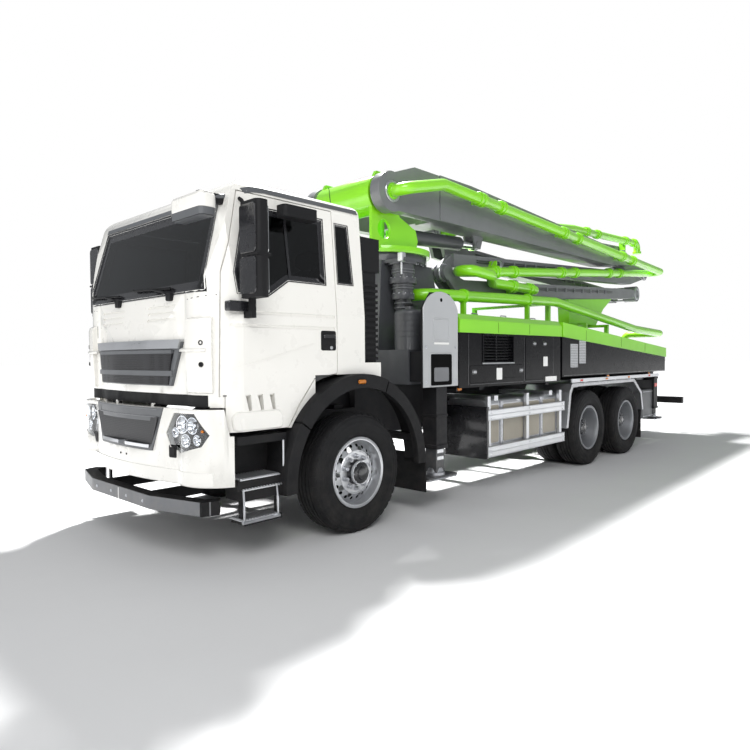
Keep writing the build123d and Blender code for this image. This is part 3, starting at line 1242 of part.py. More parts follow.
def arm_2():
    """Second arm, folded forward under the first."""
    rear_x, rear_z = ARM_1_REAR_PIN_X, ARM_1_REAR_PIN_Z
    front_x, front_z = ARM_2_FRONT_PIN_X, ARM_2_FRONT_PIN_Z
    lane = ARM_2_LANE
    shape = side_prism([(-2500, 2670), (-2500, 2840), (-6900, 3090), (-8500, 3170), (rear_x, rear_z + 110),
                        (rear_x, rear_z - 110), (-8300, 2930)], *lane)
    shape += bar_y(rear_x, rear_z, 120, *lane)
    shape += side_prism([(front_x, front_z - 95), (front_x + 60, front_z + 80), (-2500, 2838),
                         (-2800, 2700),
                         (-2800, 2690), (-2500, 2671)], lane[0] + 40, lane[1] - 40)
    shape += bar_y(front_x, front_z, 100, lane[0] + 40, lane[1] - 40)
    for x, z in ((rear_x, rear_z), (front_x, front_z)):
        shape -= bar_y(x, z, PIN_RADIUS + PIN_FIT, lane[0] - 1, lane[1] + 1)
    return shape


def arm_3():
    """Third arm, folded rearward under the second: front fork, pipe sleeve, rear yoke and hollow pin."""
    front_x, front_z = ARM_2_FRONT_PIN_X, ARM_2_FRONT_PIN_Z
    rear_x, rear_z = ARM_3_REAR_PIN_X, ARM_3_REAR_PIN_Z
    low, high = ARM_3_LANE
    under_front, under_rear = ARM_3_UNDER
    shape = side_prism([under_front, (-2620, 2520), (-8250, 2830), (-8400, 2820), (-8400, 2680),
                        under_rear], low, high)
    for y_low, y_high in ((low, low + 70), (high - 60, high)):
        shape += side_prism([(front_x, front_z - 100), (-2619, 2279), (-2780, 2300), (-2780, 2500),
                             (-2600, 2540),
                             (front_x, front_z + 90)], y_low, y_high)
        shape += bar_y(front_x, front_z, 95, y_low, y_high)
    shape += bar_y(front_x, front_z, PIN_RADIUS, low, high)
    shape += side_prism([(-8399, 2830), (-8399, 2680), (rear_x, rear_z - 140), (rear_x, rear_z + 140)],
                        low, high)
    shape += bar_y(rear_x, rear_z, YOKE_RADIUS, low, high)
    disc_low = ARM_4_LANE[1] + ARM_GAP
    for z in (rear_z + YOKE_RADIUS - 40, rear_z - YOKE_RADIUS + 20):
        shape += box(rear_x - 80, rear_x + 130, disc_low, low + 1, z, z + 20)
    shape += bar_y(rear_x, rear_z, YOKE_RADIUS, disc_low, disc_low + 24)
    shape += bar_y(rear_x, rear_z, HOLLOW_PIN_RADIUS, PIN_CAP_Y, disc_low + 1)
    shape += bar_y(rear_x, rear_z, HOLLOW_PIN_RADIUS + 25, PIN_CAP_Y, ARM_4_LANE[0] - ARM_GAP)
    shape -= bar_y(rear_x, rear_z, PIPE_RADIUS + SEAT_GAP, PIN_CAP_Y - 1, disc_low + 25)
    shape -= bar_y(PIPE_3_CROSS_X, PIPE_3_CROSS_Z, PIPE_RADIUS + SEAT_GAP, low - 1, high + 1)
    return shape


def arm_4():
    """Fourth arm, folded forward in the right-hand lane, with a fork and hollow pin at its front end."""
    rear_x, rear_z = ARM_3_REAR_PIN_X, ARM_3_REAR_PIN_Z
    front_x, front_z = ARM_4_FRONT_PIN_X, ARM_4_FRONT_PIN_Z
    low, high = ARM_4_LANE
    shape = side_prism([(-8300, 2664), (-8300, 2874), (-3100, 3090), (-3100, 2870)], low, high)
    shape += side_prism([(-8299, 2664), (-8299, 2874), (rear_x, rear_z + 140), (rear_x, rear_z - 140)],
                        low, high)
    shape += bar_y(rear_x, rear_z, YOKE_RADIUS, low, high)
    for y_low, y_high in ((low, low + 50), (high - 50, high)):
        shape += side_prism([(-3101, 2880), (-3101, 3085), (front_x - 60, front_z + 60),
                             (front_x + 80, front_z),
                             (front_x - 40, 2900)], y_low, y_high)
        shape += bar_y(front_x, front_z, 130, y_low, y_high)
    shape += bar_y(front_x, front_z, HOLLOW_PIN_RADIUS, low, high)
    shape -= bar_y(front_x, front_z, PIPE_RADIUS + SEAT_GAP, low - 1, high + 1)
    shape -= bar_y(rear_x, rear_z, HOLLOW_PIN_RADIUS + PIN_FIT, low - 1, high + 1)
    return shape


def arm_5():
    """Fifth arm, the slim tip section, lying above the fourth."""
    front_x, front_z = ARM_4_FRONT_PIN_X, ARM_4_FRONT_PIN_Z
    low, high = ARM_4_LANE
    inner = (low + 50 + ARM_GAP, high - 50 - ARM_GAP)
    shape = side_prism(
        [(-3100, 3330), (-3100, 3500), (ARM_5_TIP_X, ARM_5_TIP_Z),
         (ARM_5_TIP_X, ARM_5_TIP_Z - 110)], low, high)
    shape += side_prism([(front_x, front_z - 110), (front_x + 90, front_z + 60), (-3000, 3460),
                         (-3150, 3490),
                         (-3150, 3330), (-3000, 3220)], *inner)
    shape += bar_y(front_x, front_z, 140, *inner)
    shape -= bar_y(front_x, front_z, HOLLOW_PIN_RADIUS + PIN_FIT, low - 1, high + 1)
    return shape


PIPE_1_Y = 760
PIPE_2_Y = 520
PIPE_3_Y = 545
PIPE_3_CROSS_X = -4350
PIPE_3_CROSS_Z = 2505
MIDDLE_LANE_Y = 105
PIPE_4_Y = -420
PIPE_5_Y = 110
SWIVEL_Y = 640
TIP_PIPE_X = -(REAR_OVERHANG - COUPLING_RADIUS)
TIP_PIPE_Z = 3900


def bracket(x, z_pipe, z_arm, y_arm, y_pipe):
    """A flat bracket with a clamp ring, from an arm's side to its pipe."""
    y_low, y_high = sorted((y_arm, y_pipe))
    z_low, z_high = sorted((z_arm, z_pipe))
    plate = box(x - 12, x + 12, y_low, y_high, z_low - 30, z_high + 30)
    return plate + coupling((x, y_pipe, z_pipe), (-1, 0, 0))


def on_path(points, x):
    """Height at x along a path of (x, z) points that runs rearward."""
    for start, end in zip(points, points[1:]):
        if end[0] <= x <= start[0]:
            return along(start, end, x)
    return points[-1][1]


def pipes():
    """Delivery pipe of each arm, by arm number: straight runs along the arm and a swivel on each hinge."""
    root, hinge_1 = (ROOT_PIN_X, ROOT_PIN_Z), (ARM_1_REAR_PIN_X, ARM_1_REAR_PIN_Z)
    hinge_2 = (ARM_2_FRONT_PIN_X, ARM_2_FRONT_PIN_Z)
    hinge_3 = (ARM_3_REAR_PIN_X, ARM_3_REAR_PIN_Z)
    hinge_4 = (ARM_4_FRONT_PIN_X, ARM_4_FRONT_PIN_Z)
    result = {}

    rise = (-1800, 3490)
    pipe = swept_pipe([(root[0], ROOT_PIPE_Y, root[1]), (root[0], PIPE_1_Y, root[1]),
                       (rise[0], PIPE_1_Y, rise[1]),
                       (hinge_1[0], PIPE_1_Y, hinge_1[1]), (hinge_1[0], SWIVEL_Y, hinge_1[1])],
                      [120, 200, 115], PIPE_RADIUS)
    for x in (-2600, -4800, -7000):
        z = along(rise, hinge_1, x)
        pipe += bracket(x, z, z, ARM_1_LANE[1] + SEAT_GAP, PIPE_1_Y)
    result[1] = pipe

    pipe = swept_pipe([(hinge_1[0], SWIVEL_Y - SWIVEL_GAP, hinge_1[1]), (hinge_1[0], PIPE_2_Y, hinge_1[1]),
                       (hinge_2[0], PIPE_2_Y, hinge_2[1]), (hinge_2[0], SWIVEL_Y, hinge_2[1])],
                      [115, 115], PIPE_RADIUS)
    for x in (-3300, -5200, -7000):
        middle = along((-2500, 2755), (-6900, 2980), x)
        pipe += bracket(x, along(hinge_2, hinge_1, x), middle, ARM_2_LANE[1] + SEAT_GAP, PIPE_2_Y)
    result[2] = pipe

    cross = (PIPE_3_CROSS_X, PIPE_3_CROSS_Z)
    pipe = swept_pipe([(hinge_2[0], SWIVEL_Y + SWIVEL_GAP, hinge_2[1]), (hinge_2[0], PIPE_1_Y, hinge_2[1]),
                       (-2800, PIPE_1_Y, 2560), (-3150, PIPE_3_Y, 2515), (cross[0], PIPE_3_Y, cross[1]),
                       (cross[0], MIDDLE_LANE_Y, cross[1]), (hinge_3[0], MIDDLE_LANE_Y, hinge_3[1]),
                       (hinge_3[0], PIN_CAP_Y - 2, hinge_3[1])], [115, 200, 200, 105, 90, 90], PIPE_RADIUS)
    pipe += bracket(-3700, along((-3150, 2515), cross, -3700), 2450, ARM_3_LANE[1] + SEAT_GAP, PIPE_3_Y)
    for x in (-5500, -7200):
        z = along(cross, hinge_3, x)
        pipe += bracket(x, z, z, ARM_3_LANE[0] - SEAT_GAP, MIDDLE_LANE_Y)
    result[3] = pipe

    pipe = swept_pipe([(hinge_3[0], PIN_CAP_Y - 2 - SWIVEL_GAP, hinge_3[1]),
                       (hinge_3[0], PIPE_4_Y, hinge_3[1]),
                       (hinge_4[0], PIPE_4_Y, hinge_4[1]), (hinge_4[0], ARM_4_LANE[1] + 4, hinge_4[1])],
                      [120, 130], PIPE_RADIUS)
    for x in (-7000, -5500, -4000):
        middle = along((-3100, 2980), (-8400, 2765), x)
        pipe += bracket(x, along(hinge_4, hinge_3, x), middle, ARM_4_LANE[0] - SEAT_GAP, PIPE_4_Y)
    result[4] = pipe

    path = [(-3300, 3420), (-6420, 3770), (TIP_PIPE_X, TIP_PIPE_Z)]
    pipe = swept_pipe([(hinge_4[0], ARM_4_LANE[1] + 4 + SWIVEL_GAP, hinge_4[1]),
                       (hinge_4[0], PIPE_5_Y, hinge_4[1]),
                       *[(x, PIPE_5_Y, z) for x, z in path], (TIP_PIPE_X, PIPE_5_Y, TIP_PIPE_Z - 220)],
                      [115, 200, 200, 120], PIPE_RADIUS)
    pipe += coupling((TIP_PIPE_X, PIPE_5_Y, TIP_PIPE_Z - 195), (0, 0, 1))
    for x in (-5000, -7000, -8800):
        middle = along((-3100, 3415), (ARM_5_TIP_X, 3745), x)
        pipe += bracket(x, on_path(path, x), middle, ARM_4_LANE[1] + SEAT_GAP, PIPE_5_Y)
    result[5] = pipe
    return result


LIFT_BARREL_RADIUS = 88
LIFT_BARREL_LENGTH = 1230


def lift_cylinder():
    """Barrel and rod of the cylinder that raises the first arm, in its parked length."""
    base = Vector(LIFT_BASE[0], LIFT_Y, LIFT_BASE[1])
    eye = Vector(LIFT_EYE[0], LIFT_Y, LIFT_EYE[1])
    step = (eye - base).normalized()
    plane = Plane(origin=base, z_dir=step)
    barrel = extrude(plane.offset(120) * Circle(LIFT_BARREL_RADIUS), amount=LIFT_BARREL_LENGTH - 120)
    barrel += extrude(plane * Circle(50), amount=125)
    barrel += bar_y(base.X, base.Z, 62, LIFT_Y - 60, LIFT_Y + 60)
    barrel -= extrude(plane.offset(160) * Circle(LIFT_ROD_RADIUS + 0.5), amount=LIFT_BARREL_LENGTH)
    barrel -= bar_y(base.X, base.Z, LIFT_PIN + PIN_FIT, LIFT_Y - 70, LIFT_Y + 70)
    length = (eye - base).length
    rod = extrude(plane.offset(200) * Circle(LIFT_ROD_RADIUS), amount=length - 200)
    rod += bar_y(eye.X, eye.Z, 66, LIFT_Y - LIFT_EYE_HALF, LIFT_Y + LIFT_EYE_HALF)
    return barrel, rod


def front_beam(x):
    """Left front outrigger: beam, end plate, jack tube."""
    half = BEAM_WIDTH / 2
    shape = box(x - half, x + half, -CASING_HALF_LENGTH + 10, OUTRIGGER_PLATE_OUTER - 25, BEAM_UNDERSIDE,
                BEAM_UNDERSIDE + BEAM_HEIGHT)
    jack_x = FRONT_JACK_X
    tube_low_y = OUTRIGGER_PLATE_OUTER - 25 - JACK_TUBE
    tube = box(jack_x - JACK_TUBE / 2, jack_x + JACK_TUBE / 2, tube_low_y, OUTRIGGER_PLATE_OUTER - 24,
               620, 2050)
    plate = side_prism([(FRONT_OUTRIGGER_X - 280, 1250), (FRONT_OUTRIGGER_X + 280, 1250),
                        (FRONT_OUTRIGGER_X + 280, 2020),
                        (FRONT_OUTRIGGER_X + 150, 2180), (FRONT_OUTRIGGER_X - 150, 2180),
                        (FRONT_OUTRIGGER_X - 280, 2020)], OUTRIGGER_PLATE_OUTER - 25, OUTRIGGER_PLATE_OUTER)
    shape = shape + tube + plate
    middle_y = (tube_low_y + OUTRIGGER_PLATE_OUTER - 25) / 2
    hole = JACK_LEG / 2 + JACK_CLEARANCE
    shape -= box(jack_x - hole, jack_x + hole, middle_y - hole, middle_y + hole, 610, 1990)
    return shape


FRONT_JACK_X = FRONT_OUTRIGGER_X - 50
FRONT_JACK_Y = OUTRIGGER_PLATE_OUTER - 25 - JACK_TUBE / 2
FRONT_LEG_TOP = 1900
FRONT_PLATE_REACH = (235, 110)
REAR_PLATE_REACH = (150, 150)


def foot(x, y, underside, top, reach_x, reach_y):
    """Jack leg with its foot plate."""
    half = JACK_LEG / 2
    plate = box(x - reach_x, x + reach_x, y - reach_y, y + reach_y, underside, underside + 26)
    return box(x - half, x + half, y - half, y + half, underside + 25, top) + plate


def rear_arm():
    """Left rear outrigger: swinging arm from its pivot post to the jack tube."""
    low, high = REAR_ARM_Z
    direction = atan2(REAR_JACK_Y - REAR_SWING_Y, REAR_JACK_X - REAR_SWING_X)
    dx, dy = -sin(direction) * 90, cos(direction) * 90
    outline = [(REAR_SWING_X + dx, REAR_SWING_Y + dy), (REAR_SWING_X - dx, REAR_SWING_Y - dy),
               (REAR_JACK_X - dx, REAR_JACK_Y - dy), (REAR_JACK_X + dx, REAR_JACK_Y + dy)]
    shape = top_prism(outline, low, high) + bar_z(REAR_SWING_X, REAR_SWING_Y, 95, low, high)
    shape += box(REAR_JACK_X - JACK_TUBE / 2, REAR_JACK_X + JACK_TUBE / 2, REAR_JACK_Y - JACK_TUBE / 2,
                 REAR_JACK_Y + JACK_TUBE / 2, 620, REAR_JACK_TOP)
    hole = JACK_LEG / 2 + JACK_CLEARANCE
    shape -= box(REAR_JACK_X - hole, REAR_JACK_X + hole, REAR_JACK_Y - hole, REAR_JACK_Y + hole, 610,
                 REAR_JACK_TOP - 30)
    shape -= bar_z(REAR_SWING_X, REAR_SWING_Y, REAR_PIVOT_RADIUS + PIN_FIT, low - 1, high + 1)
    return shape


def main():
    os.makedirs("parts", exist_ok=True)
    for side in ("left", "right"):
        front_wheel(side)
        knuckle(side)
        for name, axle_x in REAR_AXLES.items():
            rear_wheel(name, axle_x, side)
    keep("axles", *axles(), *springs())
    keep("frame", frame())
    keep("engine", engine())
    cab()
    keep("grille", grille())
    keep("cab_interior", *cab_interior())
    keep("cab_trim", *cab_trim())
    keep("bumper", bumper())
    keep("lamps", *lamps())
    keep("steps", *steps())
    keep("pedestal", pedestal())
    keep("deck_covers", *deck_covers())
    keep("side_panels", *side_panels())
    keep("side_guards", *side_guards(), *rear_fenders())
    keep("pump_unit", pump_unit())
    keep("agitator", agitator())
    keep("hopper_grate", hopper_grate())
    keep("deck_pipe", deck_pipe())
    keep("turret", turret())
    keep("arm_1", arm_1())
    keep("arm_2", arm_2())
    keep("arm_3", arm_3())
    keep("arm_4", arm_4())
    keep("arm_5", arm_5())
    for number, pipe in pipes().items():
        keep(f"pipe_{number}", pipe)
    barrel, rod = lift_cylinder()
    keep("lift_barrel", barrel)
    keep("lift_rod", rod)
    mirror_left = mirror_housing()
    keep("door_left_mirror", mirror_left, kerb_mirror())
    keep("door_right_mirror", other_side(mirror_left))
    keep("front_beam_left", front_beam(LEFT_BEAM_X))
    keep("front_beam_right", other_side(front_beam(RIGHT_BEAM_X)))
    front_foot = foot(FRONT_JACK_X, FRONT_JACK_Y, FRONT_FOOT_UNDERSIDE, FRONT_LEG_TOP, *FRONT_PLATE_REACH)
    rear_foot = foot(REAR_JACK_X, REAR_JACK_Y, REAR_FOOT_UNDERSIDE, REAR_JACK_TOP - 45, *REAR_PLATE_REACH)
    rear_left = rear_arm()
    for name, left_shape in (("front_foot", front_foot), ("rear_arm", rear_left), ("rear_foot", rear_foot)):
        keep(f"{name}_left", left_shape)
        keep(f"{name}_right", other_side(left_shape))


main()
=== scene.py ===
"""Looks of the concrete pump truck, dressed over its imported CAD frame.

Sizes in the calls below are millimetres with X from the front axle, Y to the left and Z up,
as in the part's own drawing. They are turned into the row frame's metres where a mesh is made.
"""

import json
import math

import bmesh
import bpy
from mathutils import Matrix, Vector
from mathutils.bvhtree import BVHTree

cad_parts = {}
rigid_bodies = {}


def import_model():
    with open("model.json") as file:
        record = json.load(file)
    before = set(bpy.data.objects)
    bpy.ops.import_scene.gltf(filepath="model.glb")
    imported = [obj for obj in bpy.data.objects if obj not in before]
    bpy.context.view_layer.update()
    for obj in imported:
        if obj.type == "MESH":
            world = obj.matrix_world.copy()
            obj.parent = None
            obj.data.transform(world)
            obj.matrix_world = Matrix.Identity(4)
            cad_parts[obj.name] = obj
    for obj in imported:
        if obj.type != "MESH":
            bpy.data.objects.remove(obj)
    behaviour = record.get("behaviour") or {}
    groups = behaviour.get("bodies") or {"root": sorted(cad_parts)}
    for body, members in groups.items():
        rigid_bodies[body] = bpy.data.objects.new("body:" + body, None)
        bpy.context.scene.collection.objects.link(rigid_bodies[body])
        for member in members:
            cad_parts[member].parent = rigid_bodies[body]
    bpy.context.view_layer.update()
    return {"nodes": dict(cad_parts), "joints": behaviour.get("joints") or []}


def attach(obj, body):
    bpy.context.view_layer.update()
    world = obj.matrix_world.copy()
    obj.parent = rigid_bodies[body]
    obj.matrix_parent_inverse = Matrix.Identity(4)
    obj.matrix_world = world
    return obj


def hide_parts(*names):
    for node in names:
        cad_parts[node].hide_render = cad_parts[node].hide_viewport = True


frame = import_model()

ORIGIN_SHIFT = 3942.0
FRAME_NODES = frame["nodes"]


def metres(point):
    """A point of the drawing in the row frame's metres."""
    return Vector(((point[0] + ORIGIN_SHIFT) / 1000, point[1] / 1000, point[2] / 1000))


# Camera

LENS_PIXELS = 614.5
IMAGE_PIXELS = 750
SENSOR = 36.0
CAMERA_AT = (3837, 4978, 1542)
CAMERA_YAW, CAMERA_PITCH, CAMERA_ROLL = (math.radians(v) for v in (223.2, -1.62, -0.39))


def add_camera():
    """The photograph's own viewpoint."""
    data = bpy.data.cameras.new("camera")
    data.sensor_width = SENSOR
    data.lens = LENS_PIXELS / IMAGE_PIXELS * SENSOR
    data.clip_end = 500
    camera = bpy.data.objects.new("camera", data)
    bpy.context.scene.collection.objects.link(camera)
    level = math.cos(CAMERA_PITCH)
    look = Vector((math.cos(CAMERA_YAW) * level, math.sin(CAMERA_YAW) * level, math.sin(CAMERA_PITCH)))
    right = look.cross(Vector((0, 0, 1))).normalized()
    up = right.cross(look)
    c, s = math.cos(CAMERA_ROLL), math.sin(CAMERA_ROLL)
    turned_right, turned_up = right * c + up * s, up * c - right * s
    matrix = Matrix((turned_right, turned_up, -look)).transposed().to_4x4()
    matrix.translation = metres(CAMERA_AT)
    camera.matrix_world = matrix
    bpy.context.scene.camera = camera


# Materials

GRAIN_DEPTH = 0.001
GLASS_IOR = 1.45
# Near-black painted shade for the openings of meshes and punched sheets.
OPENING_SHADE = (0.006, 0.006, 0.006)
ROAD_DUST = (0.30, 0.27, 0.23)
MATERIALS = {}


class Finish:
    """A procedural material being wired up, kept in MATERIALS under its name."""

    def __init__(self, name):
        self.material = MATERIALS[name] = bpy.data.materials.new(name)
        self.material.use_nodes = True
        self.tree = self.material.node_tree
        self.tree.nodes.clear()
        self.output = self.node("ShaderNodeOutputMaterial")
        self.shader = self.node("ShaderNodeBsdfPrincipled")
        self.link(self.shader.outputs[0], self.output.inputs["Surface"])
        self.place = self.node("ShaderNodeTexCoord").outputs["Object"]

    def node(self, kind, **values):
        made = self.tree.nodes.new(kind)
        for key, value in values.items():
            setattr(made, key, value)
        return made

    def link(self, source, target):
        self.tree.links.new(source, target)

    def noise(self, scale, detail=3.0, rough=0.55, stretch=None):
        made = self.node("ShaderNodeTexNoise")
        made.inputs["Scale"].default_value = scale
        made.inputs["Detail"].default_value = detail
        made.inputs["Roughness"].default_value = rough
        source = self.place
        if stretch:
            mapping = self.node("ShaderNodeMapping")
            mapping.inputs["Scale"].default_value = stretch
            self.link(source, mapping.inputs["Vector"])
            source = mapping.outputs[0]
        self.link(source, made.inputs["Vector"])
        return made.outputs["Fac"]

    def span(self, source, low, high, to_low=0.0, to_high=1.0):
        made = self.node("ShaderNodeMapRange")
        for key, value in (("From Min", low), ("From Max", high), ("To Min", to_low), ("To Max", to_high)):
            made.inputs[key].default_value = value
        self.link(source, made.inputs["Value"])
        return made.outputs[0]

    def times(self, a, b):
        made = self.node("ShaderNodeMath", operation="MULTIPLY")
        self.link(a, made.inputs[0])
        if isinstance(b, float):
            made.inputs[1].default_value = b
        else:
            self.link(b, made.inputs[1])
        return made.outputs[0]

    def mix(self, share, first, second):
        made = self.node("ShaderNodeMix", data_type="RGBA")
        self.link(share, made.inputs[0])
        for value, slot in ((first, 6), (second, 7)):
            if isinstance(value, tuple):
                made.inputs[slot].default_value = (*value, 1)
            else:
                self.link(value, made.inputs[slot])
        return made.outputs[2]

    def height(self):
        made = self.node("ShaderNodeSeparateXYZ")
        self.link(self.place, made.inputs[0])
        return made.outputs["Z"]

    def bump(self, source, strength, distance):
        made = self.node("ShaderNodeBump")
        made.inputs["Strength"].default_value = strength
        made.inputs["Distance"].default_value = distance
        self.link(source, made.inputs["Height"])
        self.link(made.outputs[0], self.shader.inputs["Normal"])

    def set(self, **values):
        for key, value in values.items():
            self.shader.inputs[key.replace("_", " ")].default_value = value


def shade(colour, factor):
    return tuple(min(1.0, channel * factor) for channel in colour)


def surface(name, colour, rough, metal=0.0, coat=0.0, vary=0.06, patch=1.3, spread=0.06, grain=260.0,
            relief=0.08, dust=0.0, dust_top=1.4, stretch=None, specular=0.5):
    """Paint, plastic, metal or rubber: colour patches, low dust, uneven gloss and a fine grain."""
    finish = Finish(name)
    patches = finish.span(finish.noise(patch, 4.0), 0.3, 0.7)
    tint = finish.mix(patches, shade(colour, 1 - vary), shade(colour, 1 + vary))
    if dust:
        low = finish.span(finish.height(), dust_top, 0.15)
        speckle = finish.span(finish.noise(9.0, 6.0, 0.7), 0.38, 0.72)
        tint = finish.mix(finish.times(finish.times(low, speckle), dust), tint, ROAD_DUST)
    finish.link(tint, finish.shader.inputs["Base Color"])
    least, most = max(0.02, rough - spread), min(1.0, rough + spread)
    gloss = finish.span(finish.noise(7.0, 5.0, 0.6, stretch), 0.3, 0.7, least, most)
    finish.link(gloss, finish.shader.inputs["Roughness"])
    finish.bump(finish.noise(grain, 2.0, 0.5, stretch), relief, GRAIN_DEPTH)
    finish.set(Metallic=metal, Coat_Weight=coat, Coat_Roughness=0.06, Specular_IOR_Level=specular)
    return finish.material


def clear(name, colour, rough=0.02, through=1.0):
    """Glass or a clear lens with a faint smear in its gloss."""
    finish = Finish(name)
    smear = finish.span(finish.noise(3.0, 4.0), 0.3, 0.7, 0.92, 1.0)
    tint = finish.mix(smear, shade(colour, 0.85), colour)
    finish.link(tint, finish.shader.inputs["Base Color"])
    gloss = finish.span(finish.noise(5.0, 4.0), 0.35, 0.75, rough, rough + 0.03)
    finish.link(gloss, finish.shader.inputs["Roughness"])
    finish.set(Transmission_Weight=through, IOR=GLASS_IOR)
    return finish.material


def mesh_screen(name, colour, hole, cell):
    """Punched or woven sheet: round openings in rows, given in the relief, with painted shade in the colour
    where they open.
    """
    finish = Finish(name)
    cells = finish.node("ShaderNodeTexVoronoi", feature="F1")
    cells.inputs["Scale"].default_value = cell
    cells.inputs["Randomness"].default_value = 0.0
    finish.link(finish.place, cells.inputs["Vector"])
    inside = finish.span(cells.outputs["Distance"], hole, hole + 0.06)
    # Painted shade: the openings are coloured near-black, standing in for the dark behind them.
    finish.link(finish.mix(inside, OPENING_SHADE, colour), finish.shader.inputs["Base Color"])
    finish.bump(inside, 0.6, 0.002)
    finish.set(Metallic=0.4, Roughness=0.45)
    return finish.material


def chequer(name, colour):
    """Aluminium tread plate: raised lozenges in two directions, with painted shade on the flat between them.
    """
    finish = Finish(name)
    total = None
    for turn in (0.785, -0.785):
        mapping = finish.node("ShaderNodeMapping")
        mapping.inputs["Rotation"].default_value = (0, 0, turn)
        mapping.inputs["Scale"].default_value = (26.0, 70.0, 26.0)
        finish.link(finish.place, mapping.inputs["Vector"])
        cells = finish.node("ShaderNodeTexVoronoi", feature="F1")
        cells.inputs["Scale"].default_value = 1.0
        cells.inputs["Randomness"].default_value = 0.0
        finish.link(mapping.outputs[0], cells.inputs["Vector"])
        bump = finish.span(cells.outputs["Distance"], 0.34, 0.22)
        if total is None:
            total = bump
        else:
            joined = finish.node("ShaderNodeMath", operation="MAXIMUM")
            finish.link(total, joined.inputs[0])
            finish.link(bump, joined.inputs[1])
            total = joined.outputs[0]
    # Painted shade: the flat plate between the lozenges is darkened to 0.72 of the colour.
    tint = finish.mix(total, shade(colour, 0.72), colour)
    finish.link(tint, finish.shader.inputs["Base Color"])
    finish.bump(total, 0.7, 0.003)
    finish.link(finish.span(finish.noise(8.0), 0.3, 0.7, 0.25, 0.42), finish.shader.inputs["Roughness"])
    finish.set(Metallic=0.95)
    return finish.material


WHITE = (0.80, 0.785, 0.74)
LIME = (0.235, 0.66, 0.012)
BOOM = (0.15, 0.155, 0.162)
DARK = (0.055, 0.058, 0.064)

surface("cab_white", WHITE, 0.30, coat=0.8, vary=0.006, relief=0.015, grain=90, dust=0.04, dust_top=0.9)
surface("lime", LIME, 0.34, coat=0.7, vary=0.05, relief=0.05, grain=120, dust=0.05)
surface("boom_grey", BOOM, 0.42, coat=0.35, vary=0.10, patch=2.5, relief=0.10, grain=160)
surface("plate_grey", (0.40, 0.41, 0.42), 0.38, coat=0.4, vary=0.05, relief=0.05, dust=0.1)
surface("frame_grey", DARK, 0.5, coat=0.2, vary=0.15, relief=0.12, dust=0.25)
surface("chassis", (0.012, 0.012, 0.014), 0.5, vary=0.2, relief=0.15, dust=0.10, specular=0.2)
surface("box_black", (0.004, 0.004, 0.005), 0.24, coat=0.04, specular=0.12, vary=0.1, relief=0.03,
        grain=60, dust=0.06)
surface("plastic", (0.010, 0.010, 0.011), 0.58, vary=0.12, relief=0.3, grain=900, dust=0.05, specular=0.2)
surface("trim_gloss", (0.012, 0.012, 0.014), 0.25, coat=0.6, vary=0.1, relief=0.05)
surface("grey_plastic", (0.10, 0.105, 0.112), 0.42, vary=0.08, relief=0.2, grain=700, dust=0.1)
surface("bar_grey", (0.16, 0.165, 0.175), 0.5, vary=0.12, relief=0.2, grain=500, dust=0.25)
surface("rubber", (0.008, 0.008, 0.009), 0.74, vary=0.2, relief=0.35, grain=420, dust=0.07, dust_top=1.0,
        specular=0.3)
surface("rim_silver", (0.62, 0.63, 0.65), 0.34, metal=0.85, vary=0.06, relief=0.08, dust=0.10)
surface("rim_grey", (0.30, 0.31, 0.33), 0.45, metal=0.6, vary=0.1, relief=0.1, dust=0.25)
surface("steel", (0.55, 0.56, 0.58), 0.33, metal=1.0, vary=0.12, relief=0.12, stretch=(1, 1, 14))
surface("zinc", (0.50, 0.51, 0.54), 0.42, metal=0.9, vary=0.15, patch=30, relief=0.1, dust=0.1)
surface("chrome", (0.80, 0.81, 0.83), 0.08, metal=1.0, vary=0.02, relief=0.02, spread=0.03)
surface("aluminium", (0.66, 0.67, 0.69), 0.34, metal=0.9, vary=0.06, relief=0.12, stretch=(1, 30, 30),
        dust=0.12)
chequer("chequer", (0.62, 0.63, 0.65))
clear("glass", (0.075, 0.085, 0.09), 0.015)
clear("lens", (0.93, 0.95, 0.97), 0.02)
clear("amber", (0.95, 0.30, 0.02), 0.08, 0.55)
clear("red_lens", (0.80, 0.03, 0.02), 0.08, 0.55)
surface("mirror_face", (0.85, 0.87, 0.88), 0.03, metal=1.0, vary=0.01, relief=0.0, spread=0.01)
mesh_screen("mesh", (0.03, 0.03, 0.033), 0.34, 70.0)
mesh_screen("punched", (0.55, 0.56, 0.58), 0.30, 45.0)
surface("beige", (0.36, 0.33, 0.27), 0.5, vary=0.08, relief=0.1, dust=0.3)
surface("reflector", (0.75, 0.76, 0.78), 0.2, metal=0.3, vary=0.05, patch=40, relief=0.4, grain=260)
surface("reflector_red", (0.55, 0.02, 0.015), 0.22, vary=0.05, patch=40, relief=0.4, grain=260)
surface("fabric", (0.03, 0.03, 0.033), 0.85, vary=0.2, patch=20, relief=0.6, grain=1200)
surface("interior", (0.045, 0.046, 0.05), 0.6, vary=0.1, relief=0.3, grain=900)
# Near-black: painted shade in the wheels' hand holes and in the outrigger plate's slot and eye, and the
# dials' own black faces.
surface("hole_shade_and_dial_black", (0.003, 0.003, 0.003), 0.9, vary=0.1, relief=0.0, specular=0.1)
surface("seam", (0.02, 0.055, 0.004), 0.8, vary=0.1, relief=0.0, specular=0.1)
surface("plate_white", (0.78, 0.78, 0.76), 0.35, coat=0.5, vary=0.03, relief=0.04)

